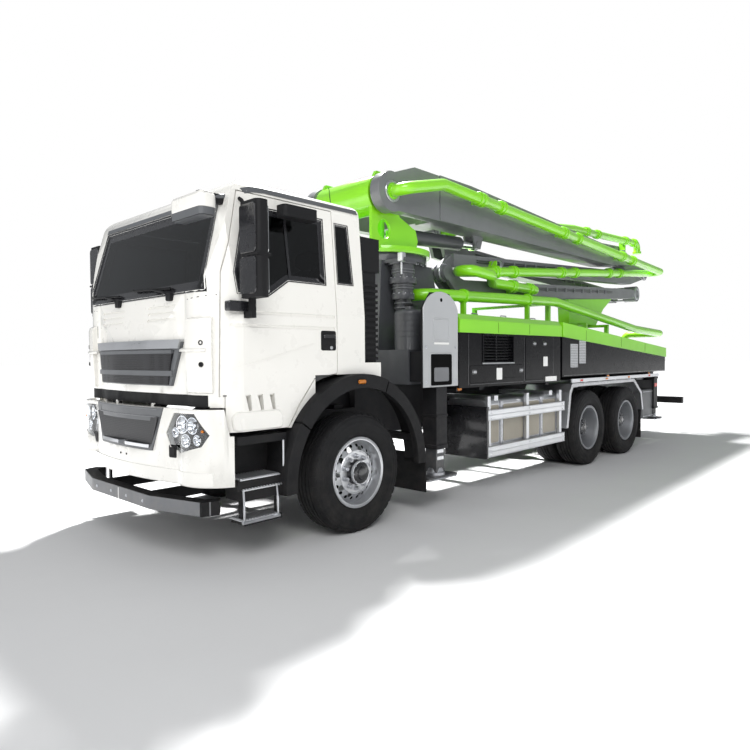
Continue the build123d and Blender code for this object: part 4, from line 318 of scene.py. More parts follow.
NODE_FINISH = {
    "agitator": "steel", "axles": "chassis", "bumper": "cab_white", "cab_glass": "glass",
    "cab_interior": "interior", "cab_shell": "cab_white", "cab_trim": "plastic", "deck_covers": "lime",
    "deck_pipe": "lime", "engine": "chassis", "frame": "chassis", "grille": "grey_plastic",
    "hopper_grate": "chassis", "lamps": "lens", "lift_barrel": "frame_grey", "lift_rod": "chrome",
    "pedestal": "frame_grey", "pump_unit": "frame_grey", "side_guards": "aluminium",
    "side_panels": "box_black", "steps": "plastic", "turret": "lime",
}
for side in ("left", "right"):
    NODE_FINISH.update({
        f"door_{side}": "cab_white", f"door_{side}_glass": "glass", f"door_{side}_mirror": "plastic",
        f"knuckle_{side}": "chassis", f"front_{side}_tyre": "rubber", f"front_{side}_rim": "rim_silver",
        f"drive_1_{side}_tyres": "rubber", f"drive_1_{side}_rims": "rim_grey",
        f"drive_2_{side}_tyres": "rubber", f"drive_2_{side}_rims": "rim_grey",
        f"front_beam_{side}": "chassis", f"front_foot_{side}": "frame_grey",
        f"rear_arm_{side}": "chassis", f"rear_foot_{side}": "chassis",
    })
for number in range(1, 6):
    NODE_FINISH[f"arm_{number}"] = "boom_grey"
    NODE_FINISH[f"pipe_{number}"] = "lime"

SQUARE_EDGED = ("glass", "lens", "rubber")
EDGE_WIDTH, EDGE_DEGREES, NODE_WELD = 0.004, 38, 0.00002


def dress_nodes():
    """Gives each CAD node its finish and small rounded edges."""
    for name, node in FRAME_NODES.items():
        finish = NODE_FINISH[name]
        node.data.materials.clear()
        node.data.materials.append(MATERIALS[finish])
        if finish not in SQUARE_EDGED:
            weld = node.modifiers.new("weld", "WELD")
            weld.merge_threshold = NODE_WELD
            bevel = node.modifiers.new("edges", "BEVEL")
            bevel.width = EDGE_WIDTH
            bevel.segments = 2
            bevel.limit_method = "ANGLE"
            bevel.angle_limit = math.radians(EDGE_DEGREES)
            bevel.harden_normals = True


# Making pieces

AXIS_OF = {"front": 0, "side": 1, "top": 2}
VIEW_FROM = (3000, 3000, 6000)
SINK = 3.0
SHARP_DEGREES, WELD_METRES = 32, 2e-6
TREES = {}


def tree_of(name):
    """Search tree over a CAD node's mesh."""
    if name not in TREES:
        mesh = FRAME_NODES[name].data
        TREES[name] = BVHTree.FromPolygons([v.co for v in mesh.vertices],
                                           [tuple(p.vertices) for p in mesh.polygons])
    return TREES[name]


def spot(plane, u, v, depth):
    """The drawing's point for a place on a view plane and a depth along its axis."""
    if plane == "front":
        return [depth, u, v]
    if plane == "side":
        return [u, depth, v]
    return [u, v, depth]


def skin(plane, u, v, nodes):
    """Where a look from the front, the left side or the top first meets the nodes; None where it misses."""
    axis = AXIS_OF[plane]
    way = Vector((0, 0, 0))
    way[axis] = -1
    start = metres(spot(plane, u, v, VIEW_FROM[axis]))
    found = None
    for name in nodes:
        hit = tree_of(name).ray_cast(start, way)[0]
        if hit is not None:
            depth = hit[axis] * 1000 - (ORIGIN_SHIFT if axis == 0 else 0)
            found = depth if found is None else max(found, depth)
    return found


def inset(outline, reach):
    """A closed outline drawn inward by a distance, whichever way it runs."""
    area = sum(a[0] * b[1] - b[0] * a[1] for a, b in zip(outline, outline[1:] + outline[:1]))
    turn = reach if area > 0 else -reach
    shifted = []
    for index, here in enumerate(outline):
        back, ahead = outline[index - 1], outline[(index + 1) % len(outline)]
        first = Vector((here[0] - back[0], here[1] - back[1])).normalized()
        second = Vector((ahead[0] - here[0], ahead[1] - here[1])).normalized()
        a, b = Vector((-first.y, first.x)), Vector((-second.y, second.x))
        middle = a + b
        share = max(0.35, middle.dot(a))
        shifted.append((here[0] + middle.x * turn / share, here[1] + middle.y * turn / share))
    return shifted


def rounded(outline, radius, steps=4):
    """The outline with its corners turned to curves."""
    result = []
    for index, corner in enumerate(outline):
        here, back = Vector(corner), Vector(outline[index - 1])
        ahead = Vector(outline[(index + 1) % len(outline)])
        a, b = back - here, ahead - here
        reach = min(radius / math.tan(max(0.2, a.angle(b)) / 2), a.length * 0.48, b.length * 0.48)
        start, end = here + a.normalized() * reach, here + b.normalized() * reach
        for step in range(steps + 1):
            t = step / steps
            result.append(tuple(start * (1 - t) ** 2 + here * 2 * t * (1 - t) + end * t * t))
    return result


def rectangle(u_low, u_high, v_low, v_high, radius=0):
    """A rectangle's corners, or its outline with rounded corners."""
    corners = [(u_low, v_low), (u_high, v_low), (u_high, v_high), (u_low, v_high)]
    return rounded(corners, radius) if radius else corners


def between(a, b, share):
    return tuple(p + (q - p) * share for p, q in zip(a, b))


def across(direction):
    """Two directions square to a given one."""
    way = Vector(direction).normalized()
    helper = Vector((0, 0, 1)) if abs(way.z) < 0.9 else Vector((1, 0, 0))
    u = way.cross(helper).normalized()
    return way, u, way.cross(u)


def repeat_tree():
    """Node tree that sets copies of a shape in a row or round an axis, and gives them their finish."""
    tree = bpy.data.node_groups.new("repeat", "GeometryNodeTree")
    tree.is_modifier = True
    tree.interface.new_socket("Shape", in_out="INPUT", socket_type="NodeSocketGeometry")
    inputs = {}
    for name, kind in (("Count", "Int"), ("Step", "Vector"), ("Turn", "Float"), ("Axis", "Vector"),
                       ("Centre", "Vector"), ("Finish", "Material")):
        socket = tree.interface.new_socket(name, in_out="INPUT", socket_type=f"NodeSocket{kind}")
        inputs[name] = socket.identifier
    tree.interface.new_socket("Copies", in_out="OUTPUT", socket_type="NodeSocketGeometry")

    def node(kind, operation=None):
        made = tree.nodes.new(kind)
        if operation:
            made.operation = operation
        return made

    given, result = node("NodeGroupInput"), node("NodeGroupOutput")
    index = node("GeometryNodeInputIndex")
    angle = node("ShaderNodeMath", "MULTIPLY")
    shift, place, back = (node("ShaderNodeVectorMath", kind) for kind in ("SCALE", "ADD", "SCALE"))
    points, turn = node("GeometryNodePoints"), node("FunctionNodeAxisAngleToRotation")
    centred, copies = node("GeometryNodeTransform"), node("GeometryNodeInstanceOnPoints")
    real, finish = node("GeometryNodeRealizeInstances"), node("GeometryNodeSetMaterial")
    back.inputs["Scale"].default_value = -1
    for source, target in (
            (index.outputs[0], angle.inputs[0]), (given.outputs["Turn"], angle.inputs[1]),
            (given.outputs["Step"], shift.inputs[0]), (index.outputs[0], shift.inputs["Scale"]),
            (shift.outputs[0], place.inputs[0]), (given.outputs["Centre"], place.inputs[1]),
            (given.outputs["Count"], points.inputs["Count"]), (place.outputs[0], points.inputs["Position"]),
            (given.outputs["Axis"], turn.inputs["Axis"]), (angle.outputs[0], turn.inputs["Angle"]),
            (given.outputs["Centre"], back.inputs[0]), (back.outputs[0], centred.inputs["Translation"]),
            (given.outputs["Shape"], centred.inputs["Geometry"]), (points.outputs[0],
                                                                   copies.inputs["Points"]),
            (centred.outputs[0], copies.inputs["Instance"]), (turn.outputs[0], copies.inputs["Rotation"]),
            (copies.outputs[0], real.inputs["Geometry"]), (real.outputs[0], finish.inputs["Geometry"]),
            (given.outputs["Finish"], finish.inputs["Material"]), (finish.outputs[0], result.inputs[0])):
        tree.links.new(source, target)
    return tree, inputs


REPEAT, REPEAT_INPUTS = repeat_tree()


def copies_of(points, faces, **values):
    """Points and faces of a shape's copies, made by the repeat tree and realized."""
    data = bpy.data.meshes.new("shape")
    data.from_pydata(points, [], faces)
    holder = bpy.data.objects.new("shape", data)
    bpy.context.scene.collection.objects.link(holder)
    modifier = holder.modifiers.new("repeat", "NODES")
    modifier.node_group = REPEAT
    for name, value in values.items():
        modifier[REPEAT_INPUTS[name]] = value
    made = bpy.data.meshes.new_from_object(holder.evaluated_get(bpy.context.evaluated_depsgraph_get()))
    result = [vertex.co.copy() for vertex in made.vertices], [tuple(face.vertices) for face in made.polygons]
    bpy.data.objects.remove(holder)
    for mesh in (made, data):
        bpy.data.meshes.remove(mesh)
    return result


class Piece:
    """A mesh gathered from simple forms, riding on one body. Its sizes are the drawing's millimetres."""

    def __init__(self, name, body, finish, side=1, both=False, stands_for=()):
        self.name, self.body, self.stands_for = name, body, stands_for
        self.signs = (1, -1) if both else (side,)
        self.points, self.faces, self.looks, self.finishes = [], [], [], []
        self.paint(finish)

    def paint(self, finish):
        """The finish of what is added from here on."""
        if finish not in self.finishes:
            self.finishes.append(finish)
        self.look = self.finishes.index(finish)
        return self

    def add(self, points, faces):
        for sign in self.signs:
            start = len(self.points)
            self.points += [metres((x, sign * y, z)) for x, y, z in points]
            self.faces += [[start + index for index in face] for face in faces]
            self.looks += [self.look] * len(faces)
        return self

    def repeat(self, build, count, step=(0, 0, 0), centre=(0, 0, 0), axis=(0, 1, 0), turn=0.0):
        """What build adds, copied in a row by a step or round an axis by an angle."""
        signs = self.signs
        for sign in signs:
            self.signs = (sign,)
            first_point, first_face = len(self.points), len(self.faces)
            build()
            seed, faces, looks = self.points[first_point:], self.faces[first_face:], self.looks[first_face:]
            del self.points[first_point:], self.faces[first_face:], self.looks[first_face:]
            for look in sorted(set(looks)):
                chosen = [face for face, own in zip(faces, looks) if own == look]
                used = sorted({index for face in chosen for index in face})
                place = {index: k for k, index in enumerate(used)}
                points, made = copies_of(
                    [seed[index - first_point] for index in used],
                    [[place[index] for index in face] for face in chosen],
                    Count=count, Step=[step[0] / 1000, sign * step[1] / 1000, step[2] / 1000],
                    Turn=sign * turn, Axis=[axis[0], sign * axis[1], axis[2]],
                    Centre=list(metres((centre[0], sign * centre[1], centre[2]))),
                    Finish=MATERIALS[self.finishes[look]])
                start = len(self.points)
                self.points += points
                self.faces += [[start + index for index in face] for face in made]
                self.looks += [look] * len(made)
        self.signs = signs
        return self

    def ring(self, build, count, centre, axis):
        """What build adds, repeated evenly all round an axis."""
        way = tuple(Vector(axis).normalized())
        return self.repeat(build, count, centre=centre, axis=way, turn=2 * math.pi / count)

    def loft(self, rings, capped=True, looped=False):
        """Skin over closed rings of equally many points."""
        count = len(rings[0])
        points = [point for ring in rings for point in ring]
        faces = []
        pairs = list(zip(range(len(rings) - 1), range(1, len(rings))))
        if looped:
            pairs.append((len(rings) - 1, 0))
        for a, b in pairs:
            for k in range(count):
                m = (k + 1) % count
                faces.append((a * count + k, a * count + m, b * count + m, b * count + k))
        if capped and not looped:
            faces.append(tuple(range(count)))
            faces.append(tuple(range(len(points) - count, len(points))))
        return self.add(points, faces)

    def slab(self, plane, outline, low, high, edge=2.0):
        """A plate with its outline seen from the front, side or top, and broken edges."""
        drawn = inset(outline, edge)
        rings = ((drawn, low), (outline, low + edge), (outline, high - edge), (drawn, high))
        return self.loft([[spot(plane, u, v, depth) for u, v in ring] for ring, depth in rings])

    def block(self, x_low, x_high, y_low, y_high, z_low, z_high, edge=2.0, radius=0):
        """An upright block, rounded in plan where a radius is given."""
        return self.slab("top", rectangle(x_low, x_high, y_low, y_high, radius), z_low, z_high, edge)

    def lathe(self, origin, direction, profile, count=32, looped=False):
        """A turned form: profile points are (radius, distance along the direction)."""
        way, u, v = across(direction)
        rings = []
        for radius, height in profile:
            ring = []
            for k in range(count):
                angle = 2 * math.pi * k / count
                out = u * math.cos(angle) + v * math.sin(angle)
                ring.append(tuple(Vector(origin) + way * height + out * radius))
            rings.append(ring)
        return self.loft(rings, looped=looped)

    def tube(self, path, radius, sides=10, bend=0, taper=None):
        """A round bar or hose along a path, with its corners bent round."""
        route = [Vector(point) for point in path]
        if bend:
            eased = [route[0]]
            for back, here, ahead in zip(route, route[1:], route[2:]):
                reach = min(bend, (back - here).length * 0.48, (ahead - here).length * 0.48)
                start = here + (back - here).normalized() * reach
                end = here + (ahead - here).normalized() * reach
                for step in range(6):
                    t = step / 5
                    eased.append(start * (1 - t) ** 2 + here * 2 * t * (1 - t) + end * t * t)
            route = eased + [route[-1]]
        rings, u = [], None
        for index, here in enumerate(route):
            back, ahead = route[max(0, index - 1)], route[min(len(route) - 1, index + 1)]
            way = (ahead - back).normalized()
            if u is None:
                u = across(way)[1]
            u = (u - way * u.dot(way)).normalized()
            v = way.cross(u)
            size = radius if taper is None else radius + (taper - radius) * index / (len(route) - 1)
            angles = [2 * math.pi * k / sides for k in range(sides)]
            rings.append([tuple(here + (u * math.cos(a) + v * math.sin(a)) * size) for a in angles])
        return self.loft(rings)

    def bolt(self, origin, direction, size=10, height=7):
        """Hexagon head on a washer."""
        self.lathe(origin, direction, ((size * 1.5, -1), (size * 1.5, 1.5), (size * 1.35, 2), (size, 2)), 14)
        return self.lathe(origin, direction,
                          ((size, 1), (size, height * 0.8), (size * 0.85, height), (0, height)), 6)

    def bolt_ring(self, origin, direction, circle, number, size=8, height=8):
        """Bolts evenly round a circle."""
        first = tuple(Vector(origin) + across(direction)[1] * circle)
        return self.ring(lambda: self.bolt(first, direction, size, height), number, origin, direction)

    def cover(self, plane, outline, lift, nodes, edge=2.0):
        """A small raised patch laid on the skin of the nodes."""
        rings = []
        for ring, rise in ((outline, -SINK), (outline, lift - edge), (inset(outline, edge), lift)):
            points, last = [], None
            for u, v in ring:
                depth = skin(plane, u, v, nodes)
                last = last if depth is None else depth
                points.append(spot(plane, u, v, last + rise))
            rings.append(points)
        return self.loft(rings)

    def band(self, plane, first, second, lift, nodes, step=60, sink=SINK):
        """A raised strip between two lines, laid on the skin of the nodes."""
        stations = []
        pairs = list(zip(first, second))
        for (a, b), (c, d) in zip(pairs, pairs[1:]):
            length = max(math.dist(a, c), math.dist(b, d))
            count = max(1, int(length / step))
            stations += [(between(a, c, k / count), between(b, d, k / count)) for k in range(count)]
        stations.append(pairs[-1])
        rings, last = [], None
        for a, b in stations:
            depths, places = [], []
            for share in (0, 1):
                u, v = between(a, b, share)
                depth = skin(plane, u, v, nodes)
                depth = last if depth is None else depth
                last = depth
                places.append((u, v))
                depths.append(depth)
            known = [depth for depth in depths if depth is not None]
            if not known:
                continue
            depths = [known[0] if depth is None else depth for depth in depths]
            ring = [spot(plane, *places[0], depths[0] - sink)]
            ring += [spot(plane, *place, depth + lift) for place, depth in zip(places, depths)]
            ring.append(spot(plane, *places[-1], depths[-1] - sink))
            rings.append(ring)
        return self.loft(rings)

    def belt(self, upper, lower, lift, nodes, step):
        """A band across the front between two levels, each given as (half its width, height)."""
        first, second = ([(-half, z), (half, z)] for half, z in (upper, lower))
        return self.band("front", first, second, lift, nodes, step)

    def seal(self, plane, outline, width, lift, nodes, step=60, sink=SINK):
        """A raised strip round a closed outline, such as a window's rubber."""
        inner = inset(outline, width)
        return self.band(plane, outline + outline[:1], inner + inner[:1], lift, nodes, step, sink)

    def done(self):
        """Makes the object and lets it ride."""
        data = bpy.data.meshes.new(self.name)
        data.from_pydata(self.points, [], self.faces)
        for finish in self.finishes:
            data.materials.append(MATERIALS[finish])
        data.polygons.foreach_set("material_index", self.looks)
        shape = bmesh.new()
        shape.from_mesh(data)
        bmesh.ops.remove_doubles(shape, verts=shape.verts, dist=WELD_METRES)
        bmesh.ops.recalc_face_normals(shape, faces=shape.faces)
        for face in shape.faces:
            face.smooth = True
        shape.to_mesh(data)
        shape.free()
        data.set_sharp_from_angle(angle=math.radians(SHARP_DEGREES))
        made = bpy.data.objects.new(self.name, data)
        bpy.context.scene.collection.objects.link(made)
        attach(made, self.body)
        if self.stands_for:
            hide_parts(*self.stands_for)
        return made


# Cab

SCREEN_NODES = ("cab_shell", "cab_glass")
DOOR_NODES = ("door_left", "door_left_glass")
SCREEN = [(-985, 2050), (985, 2050), (945, 2715), (-945, 2715)]
DOOR_WINDOW = [(345, 2160), (740, 2160), (940, 2030), (1215, 2030), (1238, 2180), (1120, 2690), (345, 2700)]
QUARTER_WINDOW = [(20, 2180), (195, 2180), (195, 2690), (50, 2690)]
WIPERS = ((560, -90), (-330, -950))
CORNER = ((1425, 750), (1330, 1075), (1180, 1150))
CORNER_WALL, CORNER_STEPS = 40, 14


def lay(plane, line, lift, nodes, step=60):
    """Points along a line laid on the skin of the nodes."""
    result, last = [], 0
    for a, b in zip(line, line[1:]):
        count = max(1, int(math.dist(a, b) / step))
        for k in range(count + (b == line[-1])):
            u, v = between(a, b, k / count)
            depth = skin(plane, u, v, nodes)
            last = last if depth is None else depth
            result.append(tuple(spot(plane, u, v, last + lift)))
    return result


def arc_through(a, b, c, count):
    """Centre of the circle through three points of a plan, and points along it."""
    d = 2 * (a[0] * (b[1] - c[1]) + b[0] * (c[1] - a[1]) + c[0] * (a[1] - b[1]))
    squares = [p[0] ** 2 + p[1] ** 2 for p in (a, b, c)]
    x = (squares[0] * (b[1] - c[1]) + squares[1] * (c[1] - a[1]) + squares[2] * (a[1] - b[1])) / d
    y = (squares[0] * (c[0] - b[0]) + squares[1] * (a[0] - c[0]) + squares[2] * (b[0] - a[0])) / d
    start, end = (math.atan2(p[1] - y, p[0] - x) for p in (a, c))
    return (x, y), [start + (end - start) * k / count for k in range(count + 1)], math.dist((x, y), a)


def corner_panel(piece, stages, first, last):
    """A panel round the cab's corner in plan: stages are (height, how far it stands off)."""
    (x, y), angles, radius = arc_through(*CORNER, CORNER_STEPS)
    angles = [angle for k, angle in enumerate(angles) if first <= k <= last]
    rings = []
    for z, reach in stages:
        outer, inner = ([(x + r * math.cos(a), y + r * math.sin(a), z) for a in angles]
                        for r in (radius + reach, radius + reach - CORNER_WALL))
        rings.append(outer + inner[::-1])
    return piece.loft(rings)


def dress_screen():
    """Windscreen rubber and its black border, wipers, roof gutter and roof fittings."""
    seal = Piece("screen_seal", "cab", "trim_gloss")
    seal.seal("front", inset(SCREEN, -16), 34, 5, SCREEN_NODES, 80)
    seal.seal("front", inset(SCREEN, 14), 55, 1.2, SCREEN_NODES, 80, 1)
    seal.done()
    quarters = Piece("quarter_window_seals", "cab", "trim_gloss", both=True)
    quarters.seal("side", inset(QUARTER_WINDOW, -10), 24, 4, SCREEN_NODES)
    quarters.done()
    wipers = Piece("wipers", "cab", "plastic")
    for pivot_y, tip_y in WIPERS:
        foot = skin("front", pivot_y, 2020, SCREEN_NODES)
        wipers.slab("front", rectangle(pivot_y - 34, pivot_y + 34, 1990, 2052, 14), foot - 12, foot + 34, 5)
        middle = (pivot_y + tip_y) / 2 - 20
        high = skin("front", middle, 2112, SCREEN_NODES)
        wipers.tube([(foot + 30, pivot_y, 2030), (foot + 34, pivot_y - 60, 2062),
                     (high + 34, middle, 2108)], 8, 8, 30)
        rail = lay("front", [(pivot_y - 20, 2092), (tip_y, 2118)], 24, SCREEN_NODES, 90)
        wipers.tube(rail, 9, 8)
        blade = lay("front", [(pivot_y - 20, 2092), (tip_y, 2118)], 6, SCREEN_NODES, 90)
        wipers.tube(blade, 5, 6)
    wipers.done()
    gutter = Piece("roof_gutter", "cab", "grey_plastic", both=True)
    upper = [(-90, 2856), (940, 2856), (1060, 2845), (1150, 2815)]
    lower = [(-90, 2816), (920, 2816), (1030, 2806), (1108, 2782)]
    gutter.band("side", upper, lower, 7, ("cab_shell",))
    gutter.done()
    brow = Piece("roof_brow", "cab", "grey_plastic")
    brow.belt((960, 2775), (965, 2738), 8, ("cab_shell",), 80)
    brow.done()
    top = Piece("roof_equipment", "cab", "cab_white")
    for y in (-1, 1):
        top.block(1070, 1150, y * 975 - 55, y * 975 + 55, 2800, 2866, 12, 20)
    top.block(300, 860, -380, 380, 2894, 2912, 8, 60)
    top.block(340, 820, -340, 340, 2910, 2924, 6, 50)
    top.paint("plastic").lathe((60, 900, 2885), (0.05, 0, 1), ((22, 0), (18, 14), (9, 22), (4, 40)), 16)
    top.tube([(60, 900, 2910), (85, 905, 3060)], 3.4, 6)
    top.done()


def dress_cab_front():
    """Grille meshes and bright strip, corner deflectors, and a black band of painted shade for the gap over
    the bumper.
    """
    shell = ("cab_shell",)
    strip = Piece("grille_strip", "cab", "steel")
    strip.belt((735, 1690), (712, 1622), 38, shell, 60)
    strip.paint("grey_plastic")
    for low, high in ((1584, 1612), (1412, 1452)):
        strip.belt((640, high), (640, low), 41, shell, 60)
    strip.done()
    net = Piece("grille_mesh", "cab", "mesh")
    net.belt((640, 1612), (590, 1344), 36, shell, 60)
    net.done()
    deflectors = Piece("corner_deflectors", "cab", "cab_white", both=True)
    stages = ((1286, 4), (1294, 20), (1560, 34), (1800, 38), (1835, 30), (1846, 8))
    corner_panel(deflectors, stages, 2, 8)
    corner_panel(deflectors, ((1592, 30), (1597, 48), (1612, 48), (1622, 34)), 0, 7)
    deflectors.paint("plastic")
    (x, y), angles, radius = arc_through(*CORNER, CORNER_STEPS)
    way = (math.cos(angles[6]), math.sin(angles[6]), 0)
    plug = ((19, 0), (19, 9), (12, 10), (10, 4))
    for z in (1500, 1660):
        deflectors.lathe((x + way[0] * (radius + 30), y + way[1] * (radius + 30), z), way, plug, 14)
    deflectors.done()
    # A thin black band laid on the skin: painted shade standing in for the recessed gap over the bumper.
    gap = Piece("bumper_gap_shade", "cab", "plastic")
    gap.belt((1000, 1272), (1000, 1184), 2.5, shell, 50)
    gap.done()
    seams = Piece("bonnet_seams", "cab", "trim_gloss")
    for y in (-1, 1):
        seams.band("front", [(y * 800, 1846), (y * 800, 1738)], [(y * 793, 1846), (y * 793, 1738)], 1,
                   shell, 60)
        seams.band("front", [(y * 800, 1990), (y * 1060, 2012)], [(y * 800, 1984), (y * 1060, 2006)], 1,
                   shell, 60)
    seams.done()
    pod = Piece("front_mirror_cover", "cab", "cab_white")
    outline = rounded(rectangle(1392, 1530, 732, 1158), 46, 5)
    cap = ((4, 2612), (0, 2620), (0, 2700), (14, 2722), (40, 2733))
    base = ((22, 2551), (4, 2560), (1, 2611))
    for finish, stages in (("cab_white", cap), ("grey_plastic", base)):
        rings = [[(u, v, z) for u, v in (inset(outline, reach) if reach else outline)] for reach, z in stages]
        pod.paint(finish).loft(rings)
    pod.tube([(1160, 1010, 2765), (1290, 1015, 2738), (1430, 980, 2700)], 20, 10, 60)
    pod.paint("mirror_face").slab("front", rectangle(760, 1130, 2580, 2690, 20), 1388, 1394, 2)
    pod.done()


def dress_doors():
    """Window rubbers, handle, swage, lower bulge, mirror foot and faces; the same on both doors."""
    for side, sign in (("left", 1), ("right", -1)):
        body = f"door_{side}"
        trim = Piece(f"door_{side}_trim", body, "trim_gloss", sign)
        trim.seal("side", inset(DOOR_WINDOW, -12), 30, 4, DOOR_NODES)
        trim.seal("side", inset(DOOR_WINDOW, 16), 26, 1.2, DOOR_NODES, 60, 1)
        trim.band("side", [(700, 2165), (728, 2695)], [(724, 2165), (752, 2695)], 6, DOOR_NODES, 90)
        trim.paint("plastic")
        trim.slab("side", rectangle(244, 414, 1604, 1770, 22), 1140, 1153, 2)
        trim.slab("side", rectangle(256, 402, 1650, 1760, 18), 1146, 1156, 4)
        trim.paint("trim_gloss").slab("side", rectangle(262, 398, 1702, 1738, 14), 1150, 1176, 6)
        trim.paint("steel").lathe((300, 1152, 1628), (0, 1, 0), ((15, 0), (15, 6), (12, 8), (5, 8)), 18)
        trim.done()
        panel = Piece(f"door_{side}_panel", body, "cab_white", sign)
        panel.band("side", [(1300, 1462), (497, 1662)], [(1300, 1448), (497, 1652)], 3.5, DOOR_NODES, 50)
        bulge = rounded([(826, 1000), (1262, 1000), (1274, 1100), (1240, 1146), (860, 1146), (826, 1100)], 40)
        panel.cover("side", bulge, 16, DOOR_NODES, 9)
        panel.done()
        mirror = Piece(f"door_{side}_mirror_parts", body, "trim_gloss", sign)
        mirror.slab("side", rectangle(1138, 1322, 1888, 1964, 16), 1120, 1182, 6)
        for low, high in ((2296, 2648), (2002, 2270)):
            outline = rectangle(1208, 1402, low, high, 34)
            mirror.slab("front", outline, 1236, 1250, 5)
        mirror.paint("plastic")
        mirror.slab("side", rectangle(1122, 1248, 2274, 2292, 4), 1300, 1423, 2)
        mirror.tube([(1160, 1235, 1870), (1160, 1235, 2000)], 17, 12)
        mirror.tube([(1150, 1150, 2660), (1155, 1110, 2720), (1160, 1085, 2735)], 15, 12, 30)
        mirror.paint("mirror_face")
        for low, high in ((2300, 2642), (2008, 2264)):
            mirror.slab("front", rectangle(1212, 1398, low, high, 26), 1124, 1131, 2)
        mirror.done()


LAMP_SHAPE = [(610, 975), (700, 1135), (960, 1140), (1065, 985), (1015, 900), (780, 835), (660, 880)]


def height_on(line, u):
    """The height of a polyline at a place along it."""
    for (a, low), (b, high) in zip(line, line[1:]):
        if a <= u <= b:
            return low + (high - low) * (u - a) / (b - a)
    return line[-1][1]


def lamp_sheet(piece, shrink, depth, wall):
    """A sheet across the headlamp's opening, at a depth under the bumper's skin."""
    shape = inset(LAMP_SHAPE, shrink)
    upper, lower = shape[:4], [shape[0], *shape[6:3:-1], shape[3]]
    places = [shape[0][0] + 1 + (shape[3][0] - shape[0][0] - 2) * k / 18 for k in range(19)]
    rings = []
    for y in places:
        top, foot = height_on(upper, y), height_on(lower, y)
        column = [(y, foot + (top - foot) * k / 6) for k in range(7)]
        reach = [skin("front", u, v, ("lamps",)) or skin("front", u, 1000, ("lamps",)) for u, v in column]
        front = [(x - depth, u, v) for (u, v), x in zip(column, reach)]
        back = [(x - depth - wall, u, v) for (u, v), x in zip(column, reach)]
        rings.append(front + back[::-1])
    return piece.loft(rings)


TAIL_LENSES = (("red_lens", 806, 905), ("amber", 912, 1010), ("lens", 1017, 1060), ("red_lens", 1067, 1144))
REFLECTORS = ((795, 1052, 60), (925, 1050, 56), (850, 935, 44), (965, 945, 36), (690, 985, 34))


def dress_lamps():
    """Headlamp units with bowls behind a clear cover, and tail lamp clusters."""
    units = Piece("headlamps", "chassis", "lens", both=True, stands_for=("lamps",))
    lamp_sheet(units, 2, 1, 3)
    units.paint("plastic")
    lamp_sheet(units, 1, 40, 5)
    units.paint("chrome")
    for y, z, radius in REFLECTORS:
        x = skin("front", y, z, ("lamps",))
        way = (1, 0.18, 0)
        bowl = [(radius, 30), (radius * 0.96, 31), (radius * 0.80, 14), (radius * 0.5, 3),
                (radius * 0.26, 0), (0, 0)]
        units.lathe((x - 44, y, z), way, [(radius * 0.9, 0)] + bowl, 28)
        units.lathe((x - 40, y, z), way,
                    ((radius * 0.26, 0), (radius * 0.26, 12), (radius * 0.16, 18), (0, 20)), 18)
        units.lathe((x - 20, y, z), way,
                    ((radius, 0), (radius * 1.12, 0), (radius * 1.12, 8), (radius, 8)), 28, True)
    units.paint("amber")
    units.block(1450, 1466, 1012, 1030, 1002, 1022, 4, 5)
    units.paint("plastic")
    units.block(-9010, -8972, 795, 1155, 622, 738, 5, 8)
    for finish, y_low, y_high in TAIL_LENSES:
        units.paint(finish).block(-9022, -9006, y_low, y_high, 632, 728, 5, 8)
    units.done()


UNDERRUN_Z = (398, 500)
FRONT_OF_WHEELS = 1250


def in_front_of_wheels(y, z):
    """Whether a look from the front meets the underrun bar, not a step or flap behind it."""
    return (skin("front", y, z, ("steps",)) or 0) > FRONT_OF_WHEELS


def dress_bumper():
    """Bumper insert with its mesh and bright lip, lower lip, tow cover and the grey underrun bar."""
    skin_of = ("bumper",)
    insert = Piece("bumper_insert", "chassis", "grey_plastic")
    insert.belt((588, 1168), (540, 1062), 7, skin_of, 60)
    insert.belt((452, 858), (436, 830), 7, skin_of, 60)
    for y in (-1, 1):
        insert.band("front", [(y * 588, 1168), (y * 452, 832)], [(y * 500, 1168), (y * 396, 832)], 7,
                    skin_of, 60)
    for z in (1092, 1150):
        insert.paint("bar_grey").belt((520, z + 8), (520, z), 11, skin_of, 60)
    insert.paint("steel").belt((420, 876), (412, 850), 13, skin_of, 60)
    insert.done()
    net = Piece("bumper_mesh", "chassis", "mesh")
    outline = [(-420, 845), (420, 845), (545, 1096), (-545, 1096)]
    net.slab("front", outline, 1548, 1554, 1)
    net.done()
    lip = Piece("bumper_lip", "chassis", "cab_white")
    lip.belt((1085, 708), (1085, 610), 7, skin_of, 50)
    lip.paint("plastic")
    for y in (-1, 1):
        edge = rectangle(y * 685 - 40, y * 685 + 40, 795, 892, 14)
        lip.cover("front", edge, 4, skin_of, 2)
        lip.cover("front", rectangle(y * 685 - 26, y * 685 + 26, 812, 876, 10), 9, skin_of, 3)
    for y in (-40, 60):
        lip.lathe((skin("front", y, 770, skin_of), y, 770), (1, 0, 0), ((9, -4), (9, 4), (6, 5), (0, 5)), 14)
    lip.done()
    guard = Piece("underrun_cover", "chassis", "bar_grey")
    low, high = UNDERRUN_Z
    reach = max(y for y in range(600, 1080, 20) if in_front_of_wheels(y, low) and in_front_of_wheels(y, high))
    guard.belt((reach, high), (reach, low), 5, ("steps",), 45)
    guard.paint("plate_white").belt((6, 492), (6, 402), 7, ("steps",), 45)
    for y in (-420, -140, 140, 420):
        guard.paint("zinc").bolt((skin("front", y, 446, ("steps",)) + 4, y, 446), (1, 0, 0), 9, 7)
    guard.done()


TREADS = (
    # X low and high, Y low and high, height
    (868, 1238, 952, 1168, 640),
    (846, 1226, 962, 1180, 562),
    (888, 1232, 1000, 1186, 336),
)


